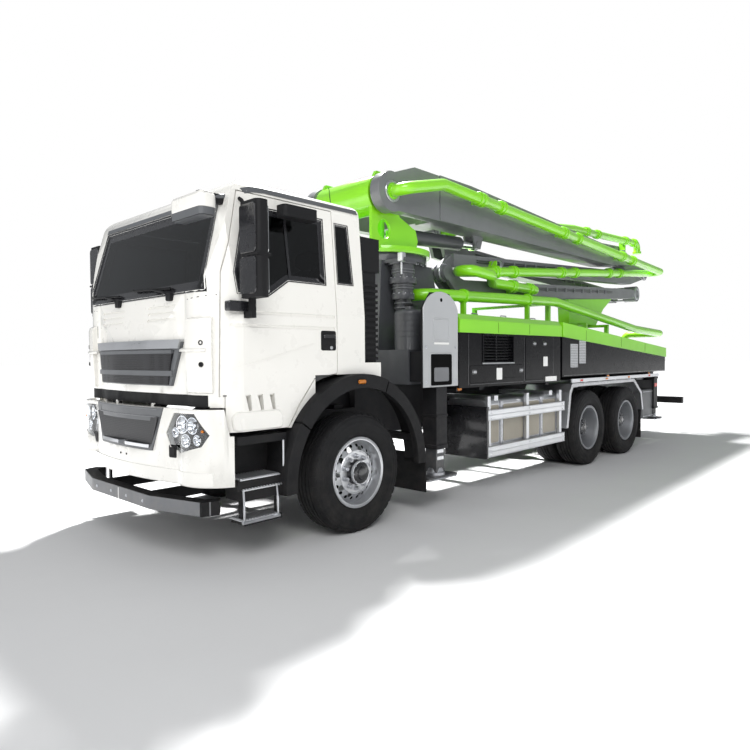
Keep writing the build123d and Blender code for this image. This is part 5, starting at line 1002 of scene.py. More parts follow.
def dress_steps():
    """Serrated treads, the hanging steps and bright edges of the step boxes."""
    tread = Piece("step_treads", "chassis", "aluminium", both=True)
    for x_low, x_high, y_low, y_high, z in TREADS:
        tread.block(x_low, x_high, y_low, y_high, z - 4, z + 6, 2)
        count = int((x_high - x_low) / 26)
        pitch = (x_high - x_low) / count
        x = x_low + pitch / 2

        def tooth():
            tread.block(x - 7, x + 7, y_low + 12, y_high - 6, z + 5, z + 13, 2)
            tread.lathe((x, y_high + 1, z + 1), (0, 1, 0), ((6, -6), (6, 1), (0, 2)), 8)

        tread.repeat(tooth, count, (pitch, 0, 0))
    tread.paint("steel")
    for x in (905, 1215):
        tread.tube([(x, 1172, 560), (x + 4, 1188, 470), (x + 4, 1188, 345), (x, 1176, 322)], 9, 10, 30)
    tread.tube([(890, 1186, 326), (1232, 1186, 326)], 12, 10)
    tread.tube([(840, 1174, 700), (840, 1174, 905)], 10, 10)
    tread.done()
    arch = Piece("arch_lamps", "cab", "amber", both=True)
    arch.slab("side", rectangle(-16, 72, 1316, 1352, 14), 1236, 1262, 8)
    arch.paint("plastic")
    arch.slab("side", rectangle(-26, 82, 1306, 1362, 18), 1234, 1246, 3)
    arch.done()


# Wheels

AXLE_Z = 530
FRONT_Y, OUTER_Y, INNER_Y, DISC_Y = 1040, 1092.5, 742.5, 917.5
REAR_WHEELS = (("drive_1", -4600), ("drive_2", -5950))
STEER_BLOCKS, DRIVE_BLOCKS, BLOCK_SPREAD = 40, 30, 0.341


def tyre(piece, x, y, blocks, seed=0.0):
    """A road tyre: beads, ribbed sidewalls and a tread with grooves and blocks."""
    wall = ((302, 116), (318, 121), (326, 134), (352, 148), (400, 158.5), (406, 160), (412, 158.5),
            (440, 157), (446, 158), (452, 155.5), (478, 150), (484, 150.5), (490, 146), (510, 132))
    tread = ((522, 118), (527, 98), (528, 74), (516, 71), (516, 62), (529, 59), (529, 30),
             (517, 27), (517, 18), (530, 15), (530, 0))
    half = wall + tread
    profile = [(r, -w) for r, w in half] + [(r, w) for r, w in half[-2::-1]] + [(300, 100), (300, -100)]
    piece.paint("rubber").lathe((x, y, AXLE_Z), (0, 1, 0), profile, 72, True)
    pitch = 2 * math.pi / blocks

    def shoulder_blocks():
        for sign in (1, -1):
            turn = pitch * (seed if sign > 0 else seed + 0.5)
            points = []
            for low, high, w in ((500, 512, 138), (514, 527, 116), (514, 529, 100)):
                for radius in (low, high):
                    for spread in (-BLOCK_SPREAD, BLOCK_SPREAD):
                        a = turn + spread * pitch
                        points.append((x + radius * math.cos(a), y + sign * w, AXLE_Z + radius * math.sin(a)))
            faces = [(0, 1, 3, 2), (8, 10, 11, 9)]
            for s in (0, 4):
                faces += [(s, s + 4, s + 5, s + 1), (s + 2, s + 3, s + 7, s + 6),
                          (s + 1, s + 5, s + 7, s + 3), (s, s + 2, s + 6, s + 4)]
            piece.add(points, faces)

    return piece.ring(shoulder_blocks, blocks, (x, y, AXLE_Z), (0, 1, 0))


RIM_LIP = ((286, -60), (296, -8), (314, -4), (315, 2), (309, 6), (300, 3), (288, -4), (280, -26), (276, -60))
HAND_HOLES, FRONT_HOLE_CIRCLE, REAR_HOLE_CIRCLE = 20, 232, 238
WHEEL_NUTS, NUT_CIRCLE = 10, 142
DISC_RADIUS, DISC_CONE_WIDTH, DISC_CONE_DEPTH = 182, 103.7, 60


def rim_lip(piece, x, y, way, count=64):
    """Rolled outer edge of a rim."""
    return piece.lathe((x, y + way * 132, AXLE_Z), (0, way, 0), RIM_LIP, count, True)


def around_hub(piece, x, y, radius, number, build):
    """Repeats round the hub what build makes at a place, given with its outward direction."""
    angle = math.pi / number
    out = Vector((math.cos(angle), 0, math.sin(angle)))
    place = (x + radius * out.x, y, AXLE_Z + radius * out.z)
    return piece.ring(lambda: build(place, out), number, (x, y, AXLE_Z), (0, 1, 0))


def wheel_nuts(piece, x, disc, length):
    """Nuts on their washers, with the stud's end."""
    tip = length - 9

    def nut(place, _out):
        piece.lathe(place, (0, 1, 0), ((25, 0), (25, 5), (20, 6)), 14)
        piece.lathe(place, (0, 1, 0),
                    ((18.5, 4), (18.5, tip - 3), (16, tip), (9, tip), (9, length), (0, length)), 6)

    piece.paint("zinc")
    return around_hub(piece, x, disc, NUT_CIRCLE, WHEEL_NUTS, nut)


def front_rim_face(piece, x, disc, finish):
    """A front rim's lip, the step round its disc, hand holes with rolled edges, nuts and valve."""
    rim_lip(piece, x, FRONT_Y, 1)
    piece.lathe((x, disc, AXLE_Z), (0, 1, 0), ((182, 0.5), (186, 5), (192, 5), (196, 0.5)), 48, True)
    drop = (FRONT_HOLE_CIRCLE - DISC_RADIUS) / DISC_CONE_WIDTH * DISC_CONE_DEPTH

    def hand_hole(place, out):
        tilt = out * 0.5 + Vector((0, 1, 0))
        # A near-black disc closes each hand hole: painted shade where the hole opens.
        piece.paint("hole_shade_and_dial_black").lathe(place, tilt, ((17, -4), (17, 1.2), (0, 1.2)), 14)
        piece.paint(finish).lathe(place, tilt, ((17, 0), (22, 0), (21, 3), (17.5, 3)), 14, True)

    around_hub(piece, x, disc - drop, FRONT_HOLE_CIRCLE, HAND_HOLES, hand_hole)
    wheel_nuts(piece, x, disc, 46)
    piece.paint("trim_gloss")
    piece.tube([(x + 262, disc - 30, AXLE_Z), (x + 284, disc + 10, AXLE_Z)], 5, 6)


def rear_rim_faces(piece, x):
    """Both lips of a twin wheel, hand holes in the dished disc and its nuts."""
    rim_lip(piece, x, OUTER_Y, 1)
    rim_lip(piece, x, INNER_Y, -1, 48)
    face_y = DISC_Y + 14

    def hand_hole(place, out):
        piece.lathe(place, out * -0.5 + Vector((0, 1, 0)), ((17, -6), (17, 1.2), (0, 1.2)), 12)

    # A near-black disc in each hand hole: painted shade where the hole opens.
    piece.paint("hole_shade_and_dial_black")
    around_hub(piece, x, face_y + 32, REAR_HOLE_CIRCLE, HAND_HOLES, hand_hole)
    return wheel_nuts(piece, x, face_y, 58)


FRONT_HUB = ((112, 0), (112, 26), (108, 34), (100, 62), (88, 72), (60, 76), (52, 90), (30, 94), (0, 94))
REAR_HUB = ((108, 0), (108, 52), (104, 62), (92, 70), (40, 74), (36, 82), (0, 84))
FRONT_DISC_Y = 1135


def dress_wheels():
    """Road tyres in place of the plain ones, and the rims' details."""
    for side, sign in (("left", 1), ("right", -1)):
        body = f"front_{side}_wheel"
        rubber = Piece(f"front_{side}_tread", body, "rubber", sign, stands_for=(f"front_{side}_tyre",))
        tyre(rubber, 0, FRONT_Y, STEER_BLOCKS)
        rubber.done()
        face = Piece(f"front_{side}_rim_face", body, "rim_silver", sign)
        front_rim_face(face, 0, FRONT_DISC_Y, "rim_silver")
        face.paint("trim_gloss").lathe((0, FRONT_DISC_Y, AXLE_Z), (0, 1, 0), FRONT_HUB, 40)
        face.paint("zinc").bolt_ring((0, FRONT_DISC_Y + 65, AXLE_Z), (0, 1, 0), 96, 8, 6, 8)
        face.done()
        for name, x in REAR_WHEELS:
            body = f"{name}_{side}_wheels"
            rubber = Piece(f"{name}_{side}_tread", body, "rubber", sign, stands_for=(f"{name}_{side}_tyres",))
            tyre(rubber, x, OUTER_Y, DRIVE_BLOCKS)
            tyre(rubber, x, INNER_Y, DRIVE_BLOCKS, 0.4)
            rubber.done()
            face = Piece(f"{name}_{side}_rim_face", body, "rim_grey", sign)
            rear_rim_faces(face, x)
            face.paint("trim_gloss").lathe((x, 1090, AXLE_Z), (0, 1, 0), REAR_HUB, 36)
            face.paint("zinc").bolt_ring((x, 1154, AXLE_Z), (0, 1, 0), 88, 10, 6, 9)
            face.done()


# Deck

DOOR_SEAMS = (-1600, -2170, -2760, -3490)
LOWER_EDGES = (
    # X low and high, Z low and high
    (-2740, -1620, 1240, 1250),
    (-3480, -2780, 1240, 1250),
    (-7700, -3780, 1280, 1292),
)
DOORS = (
    (-2730, -2190, 1300, 1450),
    (-3470, -2790, 1260, 1780),
    (-2150, -1620, 1260, 1450),
)
LATCHES = ((-1700, 1380), (-2680, 1380), (-3000, 1700), (-3260, 1700))
LOUVRE_FRAME = (
    (-2530, -1864, 1776, 1792),
    (-2530, -2508, 1480, 1776),
    (-1886, -1864, 1480, 1776),
)
BLANK_SIGNS = ((-2260, -2145, 1283, 1416), (-3340, -3230, 1420, 1540))
PUNCHED_SHEETS = ((-4210, -3990, 1390, 1710), (-4460, -4255, 1440, 1790))
SIDE_LAMPS = (
    # X, Z, Y of the panel
    (-1450, 1205, 1206),
    (-3080, 1248, 1206),
    (-5200, 1248, 1232),
    (-6900, 1248, 1232),
)


def latch(piece, x, y, z):
    """A flush paddle latch on an upright panel."""
    piece.paint("trim_gloss").slab("side", rectangle(x - 46, x + 46, z - 26, z + 26, 12), y - 2, y + 4, 2)
    piece.paint("steel").slab("side", rectangle(x - 34, x + 20, z - 14, z + 14, 8), y + 2, y + 12, 4)
    return piece.lathe((x + 33, y + 3, z), (0, 1, 0), ((7, 0), (7, 5), (3, 5)), 12)


def dress_boxes():
    """Panel seams, doors and latches, blank signs and sheets, louvre frame and lamps on the side boxes."""
    boxes = Piece("side_box_parts", "chassis", "trim_gloss", both=True)
    side = ("side_panels",)
    for x in DOOR_SEAMS:
        y = skin("side", x, 1500, side)
        boxes.slab("side", rectangle(x - 6, x + 6, 1240, 1796), y - 2, y + 4, 2)
    for x_low, x_high, z_low, z_high in LOWER_EDGES:
        y = skin("side", x_low + 40, 1400, side)
        boxes.slab("side", rectangle(x_low, x_high, z_low, z_high), y - 2, y + 7, 3)
    boxes.paint("box_black")
    for x_low, x_high, z_low, z_high in DOORS:
        y = skin("side", (x_low + x_high) / 2, (z_low + z_high) / 2, side)
        boxes.slab("side", rectangle(x_low, x_high, z_low, z_high, 24), y - 2, y + 5, 4)
    for x, z in LATCHES:
        latch(boxes, x, skin("side", x, z, side) + 5, z)
    y = skin("side", LOUVRE_FRAME[0][0], 1600, side)
    boxes.paint("box_black")
    for x_low, x_high, z_low, z_high in LOUVRE_FRAME:
        boxes.slab("side", rectangle(x_low, x_high, z_low, z_high), y - 2, y + 9, 3)
    boxes.paint("steel").slab("side", rectangle(-2530, -1864, 1462, 1479), y - 2, y + 12, 4)
    boxes.paint("plate_white")
    for x_low, x_high, z_low, z_high in BLANK_SIGNS:
        y = skin("side", x_low, z_low, side) + 4
        boxes.slab("side", rectangle(x_low, x_high, z_low, z_high, 10), y, y + 4, 1)
    boxes.slab("side", rectangle(-3570, -3280, 1228, 1290, 8), 1238, 1250, 2)
    for x_low, x_high, z_low, z_high in PUNCHED_SHEETS:
        y = skin("side", x_low, z_low, side)
        boxes.paint("punched").slab("side", rectangle(x_low, x_high, z_low, z_high, 12), y - 1, y + 6, 2)
        boxes.paint("zinc")
        for x in (x_low + 16, x_high - 16):
            boxes.repeat(lambda: boxes.bolt((x, y + 5, z_low + 16), (0, 1, 0), 6, 5), 2,
                         (0, 0, z_high - z_low - 32))
    for x, z, y in SIDE_LAMPS:
        boxes.paint("trim_gloss").slab("side", rectangle(x - 44, x + 44, z - 20, z + 20, 12), y, y + 12, 3)
        boxes.paint("amber").slab("side", rectangle(x - 36, x + 36, z - 14, z + 14, 10), y + 10, y + 26, 6)
    boxes.done()


LID_TOP = 2000
LID_SEAMS, SLOPE_SEAMS = (-2170, -2870), (-4450, -5700, -6700)
GRIPS = (-1900, -2500, -3200)
LID_HINGES = (-1560, -2060, -2300, -2760, -3000, -3600)
EDGE_REFLECTORS = ((-4300, "reflector_red"), (-5150, "amber"), (-6000, "amber"), (-6900, "reflector_red"))


def slope_z(x):
    """Lower edge of the sloping lids at a place along them."""
    return 1800 - (x + 3745) / -3995 * 270


def dress_lids():
    """Rolled edges, seams, recessed grips and hinges of the green lids, and the reflectors below them."""
    lids = Piece("lid_parts", "chassis", "lime", both=True)
    cover = ("deck_covers",)
    lids.band("side", [(-3700, 1812), (-1430, 1812)], [(-3700, 1801), (-1430, 1801)], 6, cover, 200)
    lids.band("side", [(-3700, 1936), (-1430, 1936)], [(-3700, 1926), (-1430, 1926)], 4, cover, 200)
    lids.band("side", [(-3760, 1802), (-7725, 1530)], [(-3760, 1814), (-7725, 1542)], 6, cover, 200)
    lids.paint("seam")
    for x in LID_SEAMS:
        y = skin("side", x, 1870, cover)
        lids.slab("side", rectangle(x - 3, x + 3, 1802, 1938), y - 3, y + 1.5, 0.8)
        lids.slab("top", rectangle(x - 3, x + 3, 612, 1186), LID_TOP - 2, LID_TOP + 1.5, 0.8)
    for x in SLOPE_SEAMS:
        z = slope_z(x)
        y = skin("side", x, z + 60, cover)
        lids.slab("side", rectangle(x - 3, x + 3, z + 6, z + 150), y - 3, y + 1.5, 0.8)
    for x in GRIPS:
        lids.paint("trim_gloss")
        lids.slab("top", rectangle(x - 85, x + 85, 1090, 1128, 16), LID_TOP - 2, LID_TOP + 3, 1.5)
        bar = [(x - 60, 1109, 2001), (x - 60, 1109, 2022), (x + 60, 1109, 2022), (x + 60, 1109, 2001)]
        lids.paint("zinc").tube(bar, 6, 8, 14)
    lids.paint("zinc")
    for x in LID_HINGES:
        lids.lathe((x - 45, 612, 2006), (1, 0, 0), ((0, 0), (9, 0), (9, 90), (0, 90)), 12)
        lids.slab("top", rectangle(x - 40, x + 40, 604, 660), LID_TOP - 2, LID_TOP + 4, 1.5)
    lids.paint("aluminium")
    lids.band("side", [(-7360, 1232), (-4000, 1232)], [(-7360, 1190), (-4000, 1190)], 4, ("side_guards",),
              300)
    for x, finish in EDGE_REFLECTORS:
        y = skin("side", x, 1210, ("side_guards",)) or 1250
        lids.paint(finish).slab("side", rectangle(x - 40, x + 40, 1196, 1224, 9), y + 2, y + 9, 3)
    lids.done()


RAILS = ((420, 540), (830, 950))
RAIL_X = (-3800, -1970)
TANK_PANELS = ((-2310, -2110), (-2860, -2410), (-3260, -2960), (-3690, -3360))
TANK_STRAPS = (-2360, -2910, -3310)
FENDER_FRONT = [(-3858, 582), (-3948, 1062), (-4028, 1172), (-4200, 1176),
                (-4200, 1120), (-4062, 1118), (-4003, 1040), (-3915, 582)]
FENDER_REAR = [(-6252, 1176), (-6575, 954), (-6655, 652), (-6600, 652), (-6524, 930), (-6236, 1118)]


def dress_guards():
    """Ribs, tank panels and straps behind the side guards, tread plate edge of the rear fenders."""
    guard = Piece("guard_parts", "chassis", "aluminium", both=True)
    for low, high in RAILS:
        guard.repeat(lambda: guard.slab("side", rectangle(*RAIL_X, low + 1, low + 11), 1242, 1250, 3), 3,
                     (0, 0, (high - low) / 2 - 6))
        for x in (-3740, -2885, -2030):
            guard.repeat(lambda: guard.bolt((x, 1246, low + 30), (0, 1, 0), 9, 7), 2, (0, 0, high - low - 60))
    guard.paint("trim_gloss").block(-2000, -1955, 650, 1240, 400, 985, 5, 14)
    guard.paint("beige")
    for x_low, x_high in TANK_PANELS:
        guard.slab("side", rectangle(x_low, x_high, 560, 990, 26), 1158, 1168, 4)
    guard.paint("zinc")
    for x in TANK_STRAPS:
        guard.slab("side", rectangle(x - 26, x + 26, 500, 1030), 1158, 1176, 3)
        guard.repeat(lambda: guard.bolt((x, 1174, 620), (0, 1, 0), 9, 8), 2, (0, 0, 200))
    guard.paint("chequer").slab("side", FENDER_FRONT, 1238, 1246, 2)
    guard.slab("side", FENDER_REAR, 1238, 1246, 2)
    guard.slab("side", rectangle(-6252, -4028, 1126, 1176), 1238, 1245, 2)
    guard.paint("rubber").block(-6672, -6662, 620, 1200, 180, 660, 2)
    guard.paint("grey_plastic").block(-7440, -6860, 1020, 1150, 470, 960, 12, 40)
    guard.paint("zinc")
    for low in (500, 918):
        guard.block(-7400, -6900, 1146, 1156, low, low + 12, 3)
    guard.done()


# Superstructure and boom

PIPES = {
    # body: pipe's Y, its bracket places along X
    "arm_1": ("pipe_1", 760, (-2600, -4800, -7000)),
    "arm_2": ("pipe_2", 520, (-3300, -5200, -7000)),
    "arm_3": ("pipe_3", 545, (-3700, -5500, -7200)),
    "arm_4": ("pipe_4", -420, (-7000, -5500, -4000)),
    "arm_5": ("pipe_5", 110, (-5000, -7000, -8800)),
}


PIPE_RADIUS = 66
COUPLING_SHIFTS = (-420, 60)
LINE_STEP = 310
BEND_LIMIT = 60


def run_of(node, y, x):
    """Height of a pipe's middle at a place along it, found on its own mesh."""
    top = tree_of(node).ray_cast(metres((x, y, 4600)), Vector((0, 0, -1)))[0]
    return None if top is None else top.z * 1000 - PIPE_RADIUS


def clamp(piece, here, way):
    """A two-ring pipe coupling with the sleeve between its rings."""
    bore = PIPE_RADIUS - 2
    half = ((PIPE_RADIUS + 20, 8), (PIPE_RADIUS + 15, 14), (bore, 14))
    ring = [(radius, -height) for radius, height in half[::-1]] + list(half)
    step = Vector(way).normalized() * 68
    first = tuple(Vector(here) - step / 2)
    piece.repeat(lambda: piece.lathe(first, way, ring, 24, True), 2, tuple(step))
    sleeve = ((bore, -22), (PIPE_RADIUS + 8, -22), (PIPE_RADIUS + 8, 22), (bore, 22))
    return piece.lathe(here, way, sleeve, 24, True)


def dress_pipes():
    """Couplings and saddle straps along each delivery pipe."""
    strap = ((67, -6), (74, -6), (74, 6), (67, 6))
    for body, (node, y, places) in PIPES.items():
        piece = Piece(f"{node}_clamps", body, "lime")
        for x in places:
            for shift in COUPLING_SHIFTS:
                a, b = run_of(node, y, x + shift - 30), run_of(node, y, x + shift + 30)
                if a is None or b is None or abs(a - b) > BEND_LIMIT:
                    continue
                clamp(piece, (x + shift, y, (a + b) / 2), (60, 0, b - a))
            z = run_of(node, y, x)
            if z is not None:
                piece.paint("zinc")
                piece.repeat(lambda: piece.lathe((x - 16, y, z), (1, 0, 0), strap, 24, True), 2, (32, 0, 0))
                piece.paint("lime")
        if piece.points:
            piece.done()


def edge_lines(piece, arm, y_from, x_low, x_high, drop):
    """Two oil lines laid along an arm's side, held by clips."""
    for offset in (0, 26):
        route = []
        for x in range(x_high, x_low - 1, -LINE_STEP):
            top = skin("top", x, y_from, (arm,))
            y = None if top is None else skin("side", x, top - drop - offset, (arm,))
            if y is not None:
                route.append((x, y + 11, top - drop - offset))
        if len(route) > 2:
            piece.tube(route, 8, 8)
            if offset == 0:
                for x, y, z in route[1:-1]:
                    piece.paint("bar_grey").block(x - 18, x + 18, y - 14, y + 12, z - 44, z + 16, 3)
                    piece.bolt((x, y + 12, z - 14), (0, 1, 0), 6, 5)
                    piece.paint("frame_grey")
    return piece


ARM_LINES = (
    # arm, Y just inside its left face, X low and high, drop under the top
    ("arm_1", 560, -8300, -1900, 70),
    ("arm_2", 370, -7900, -3000, 60),
    ("arm_3", 400, -7600, -3300, 60),
    ("arm_4", -50, -8000, -3600, 60),
    ("arm_5", -50, -8700, -3600, 45),
)


def pin_keepers():
    """A bolted ring round each hollow hinge pin, on the outermost face on either side."""
    for joint in frame["joints"]:
        if not joint["name"].startswith("arm_"):
            continue
        x, z = joint["pos_m"][0] * 1000 - ORIGIN_SHIFT, joint["pos_m"][2] * 1000
        for sign in (1, -1):
            found = []
            for name in (joint["parent"], joint["child"]):
                way = Vector((0, -sign, 0))
                hits = [tree_of(name).ray_cast(metres((x + dx, sign * 2500, z + dz)), way)[0]
                        for dx, dz in ((98, 0), (-98, 0), (0, 98), (0, -98))]
                if all(hits):
                    depths = [hit.y * 1000 for hit in hits]
                    if max(depths) - min(depths) < 3:
                        found.append((sign * depths[0], name, depths[0]))
            if not found:
                continue
            name, y = max(found)[1:]
            side = "left" if sign > 0 else "right"
            ring = Piece(f"{joint['name']}_keeper_{side}", name, "steel")
            ring.lathe((x, y, z), (0, sign, 0),
                       ((80, -2), (80, 7), (84, 10), (112, 10), (116, 6), (116, -2)), 40, True)
            ring.paint("zinc").bolt_ring((x, y + sign * 9, z), (0, sign, 0), 98, 8, 7, 8)
            ring.done()


def dress_arms():
    """Oil lines and clips, edge welds and hinge pin keepers of the arms."""
    for name, y, x_low, x_high, drop in ARM_LINES:
        piece = Piece(f"{name}_lines", name, "frame_grey")
        edge_lines(piece, name, y, x_low, x_high, drop)
        piece.paint("boom_grey")
        stations = [x_high + (x_low - x_high) * k / 14 for k in range(15)]
        tops = [(x, skin("top", x, y, (name,))) for x in stations]
        weld = [(x, top - 16) for x, top in tops if top is not None]
        if len(weld) > 2:
            piece.band("side", weld, [(x, z - 7) for x, z in weld], 3, (name,), 200)
        piece.done()
    pin_keepers()


GEARBOX_AT = (-1280, 600)
GEARBOX_RIBS = (
    # lowest rib's height, pitch, radius, how far it stands out
    (2460, 30, 120, 9),
    (2290, 30, 112, 10),
    (2080, 50, 85, 12),
)


def dress_base():
    """Ring bolts, gearbox flanges, motor and ports of the turret base, and the ribbed drum beside it."""
    base = Piece("slew_parts", "chassis", "frame_grey")
    base.paint("zinc").bolt_ring((-1550, 0, 2609), (0, 0, -1), 525, 36, 9, 10)
    x, y = GEARBOX_AT
    for z, radius, count in ((2400, 134, 12), (2230, 112, 10), (2171, 74, 8)):
        base.bolt_ring((x, y, z + 1), (0, 0, 1), radius, count, 7, 8)
    base.paint("grey_plastic")
    for z, pitch, radius, reach in GEARBOX_RIBS:
        rib = ((radius - 2, -7), (radius + reach, -7), (radius + reach + 2, 0), (radius + reach, 7),
               (radius - 2, 7))
        base.repeat(lambda: base.lathe((x, y, z), (0, 0, 1), rib, 32, True), 2, (0, 0, pitch))
    base.paint("aluminium").block(-1190, -1120, 655, 725, 2560, 2660, 8, 16)
    base.tube([(-1155, 690, 2430), (-1155, 690, 2570)], 11, 10)
    base.paint("zinc")
    for x, y in ((-1310, 640), (-1250, 640)):
        base.lathe((x, y, 1960), (0, 1, 0), ((20, 0), (20, 26), (15, 30), (15, 52), (0, 52)), 6)
    base.paint("frame_grey")
    rib = ((153, -5), (158, -5), (158, 5), (153, 5))
    base.repeat(lambda: base.lathe((-1110, 830, 1760), (0, 0, 1), rib, 36, True), 5, (0, 0, 55))
    base.paint("plastic").lathe((-1110, 830, 2075), (0, 0, 1),
                                ((46, 0), (50, 4), (50, 22), (42, 30), (0, 31)), 20)
    base.done()


PLATE_X, PLATE_HALF, PLATE_FACE_Y = -1090, 284, 1262
PLATE_FOOT_Z, PLATE_SHOULDER_Z, PLATE_CROWN_Z, PLATE_CROWN = 1246, 2020, 1990, 205
FRONT_FOOT_AT = (PLATE_X - 50, 1137.5)
REAR_FOOT_AT = (-7430, 1090)
REAR_PIVOT_AT = (-6730, 700)


def about(x, half, low, high, radius):
    """A rounded rectangle set evenly about a place along the truck."""
    return rectangle(x - half, x + half, low, high, radius)


def pressed_ridge(piece, outline, width, edge, rise):
    """A ridge pressed round an outline of the outrigger plate."""
    loops = ((outline, 0), (inset(outline, edge), rise), (inset(outline, width - edge), rise),
             (inset(outline, width), 0))
    rings = [[(x, PLATE_FACE_Y + height, z) for x, z in loop] for loop, height in loops]
    return piece.loft(rings, capped=False)


def outrigger_plate(plate):
    """The round-headed plate with its embossed square, lip, a slot and an eye in near-black painted shade,
    and bolts.
    """
    outline = [(PLATE_X - PLATE_HALF, PLATE_FOOT_Z), (PLATE_X + PLATE_HALF, PLATE_FOOT_Z),
               (PLATE_X + PLATE_HALF, PLATE_SHOULDER_Z)]
    for k in range(9):
        angle = math.radians(20 + 140 * k / 8)
        outline.append((PLATE_X + 279 * math.cos(angle), PLATE_CROWN_Z + PLATE_CROWN * math.sin(angle)))
    outline.append((PLATE_X - PLATE_HALF, PLATE_SHOULDER_Z))
    face = PLATE_FACE_Y
    plate.slab("side", outline, face - 13, face, 4)
    pressed_ridge(plate, about(PLATE_X, 130, 1700, 1930, 30), 14, 3, 6)
    plate.paint("plate_white").slab("side", about(PLATE_X, 120, 1668, 1690, 8), face - 2, face + 8, 3)
    # A near-black patch for the slot: painted shade where the plate opens.
    plate.paint("hole_shade_and_dial_black").slab("side", about(PLATE_X, 175, 1262, 1572, 26), face - 4, face + 1.5, 0.8)
    plate.paint("plate_grey")
    pressed_ridge(plate, about(PLATE_X, 192, PLATE_FOOT_Z, 1590, 34), 17, 4, 7)
    plate.paint("bar_grey").slab("side", about(PLATE_X, 120, 1300, 1440, 20), face, face + 5, 2)
    # A near-black disc for the eye: painted shade in the hole.
    plate.paint("hole_shade_and_dial_black").lathe((PLATE_X, face, 2110), (0, 1, 0), ((19, -2), (19, 1.5), (0, 1.5)), 20)
    plate.paint("zinc")
    for x in (PLATE_X - 240, PLATE_X + 240):
        plate.repeat(lambda: plate.bolt((x, face, 1300), (0, 1, 0), 11, 9), 2, (0, 0, 340))


def dress_outriggers():
    """Plates and collars of the front beams, collars and caps of the rear arms, pads of the feet."""
    for side, sign in (("left", 1), ("right", -1)):
        plate = Piece(f"front_beam_{side}_plate", f"front_beam_{side}", "plate_grey", sign)
        outrigger_plate(plate)
        x, y = FRONT_FOOT_AT
        plate.paint("chassis")
        for low, high in ((618, 660), (940, 965)):
            plate.slab("top", rectangle(x - 95, x + 95, 1040, 1238, 12), low, high, 5)
        plate.done()
        foot = Piece(f"front_foot_{side}_pad", f"front_foot_{side}", "zinc", sign)
        foot.slab("top", rectangle(x - 245, x + 245, y - 118, y + 118, 40), 312, 330, 5)
        foot.lathe((x, y, 346), (0, 0, 1), ((100, 0), (100, 26), (84, 40), (74, 74), (0, 74)), 32)
        foot.paint("reflector")
        foot.repeat(lambda: foot.slab("side", about(x, 52, 502, 538, 6), 1206, 1209, 1), 2, (0, 0, 70))
        foot.done()
        x, y = REAR_FOOT_AT
        foot = Piece(f"rear_foot_{side}_pad", f"rear_foot_{side}", "zinc", sign)
        foot.slab("top", rectangle(x - 160, x + 160, y - 160, y + 160, 60), 430, 452, 5)
        foot.lathe((x, y, 466), (0, 0, 1), ((96, 0), (96, 22), (84, 34), (74, 60), (0, 60)), 32)
        foot.done()
        arm = Piece(f"rear_arm_{side}_parts", f"rear_arm_{side}", "chassis", sign)
        arm.lathe((*REAR_PIVOT_AT, 1110), (0, 0, 1), ((92, 0), (92, 18), (84, 24), (0, 24)), 32)
        for low, high in ((618, 655), (1140, 1176)):
            arm.slab("top", rectangle(x - 100, x + 100, y - 100, y + 100, 12), low, high, 5)
        arm.paint("zinc").bolt_ring((x, y, 1175), (0, 0, 1), 60, 6, 8, 8)
        arm.paint("reflector_red").slab("side", about(x, 60, 1000, 1060, 6), 1176, 1182, 1)
        arm.done()


# Hopper and pump

HOPPER_REAR, HOPPER_FRONT, HOPPER_HALF = -8820, -7880, 680
PUMP_Y, PUMP_Z, TIE_ROD_CIRCLE = 170, 1080, 112


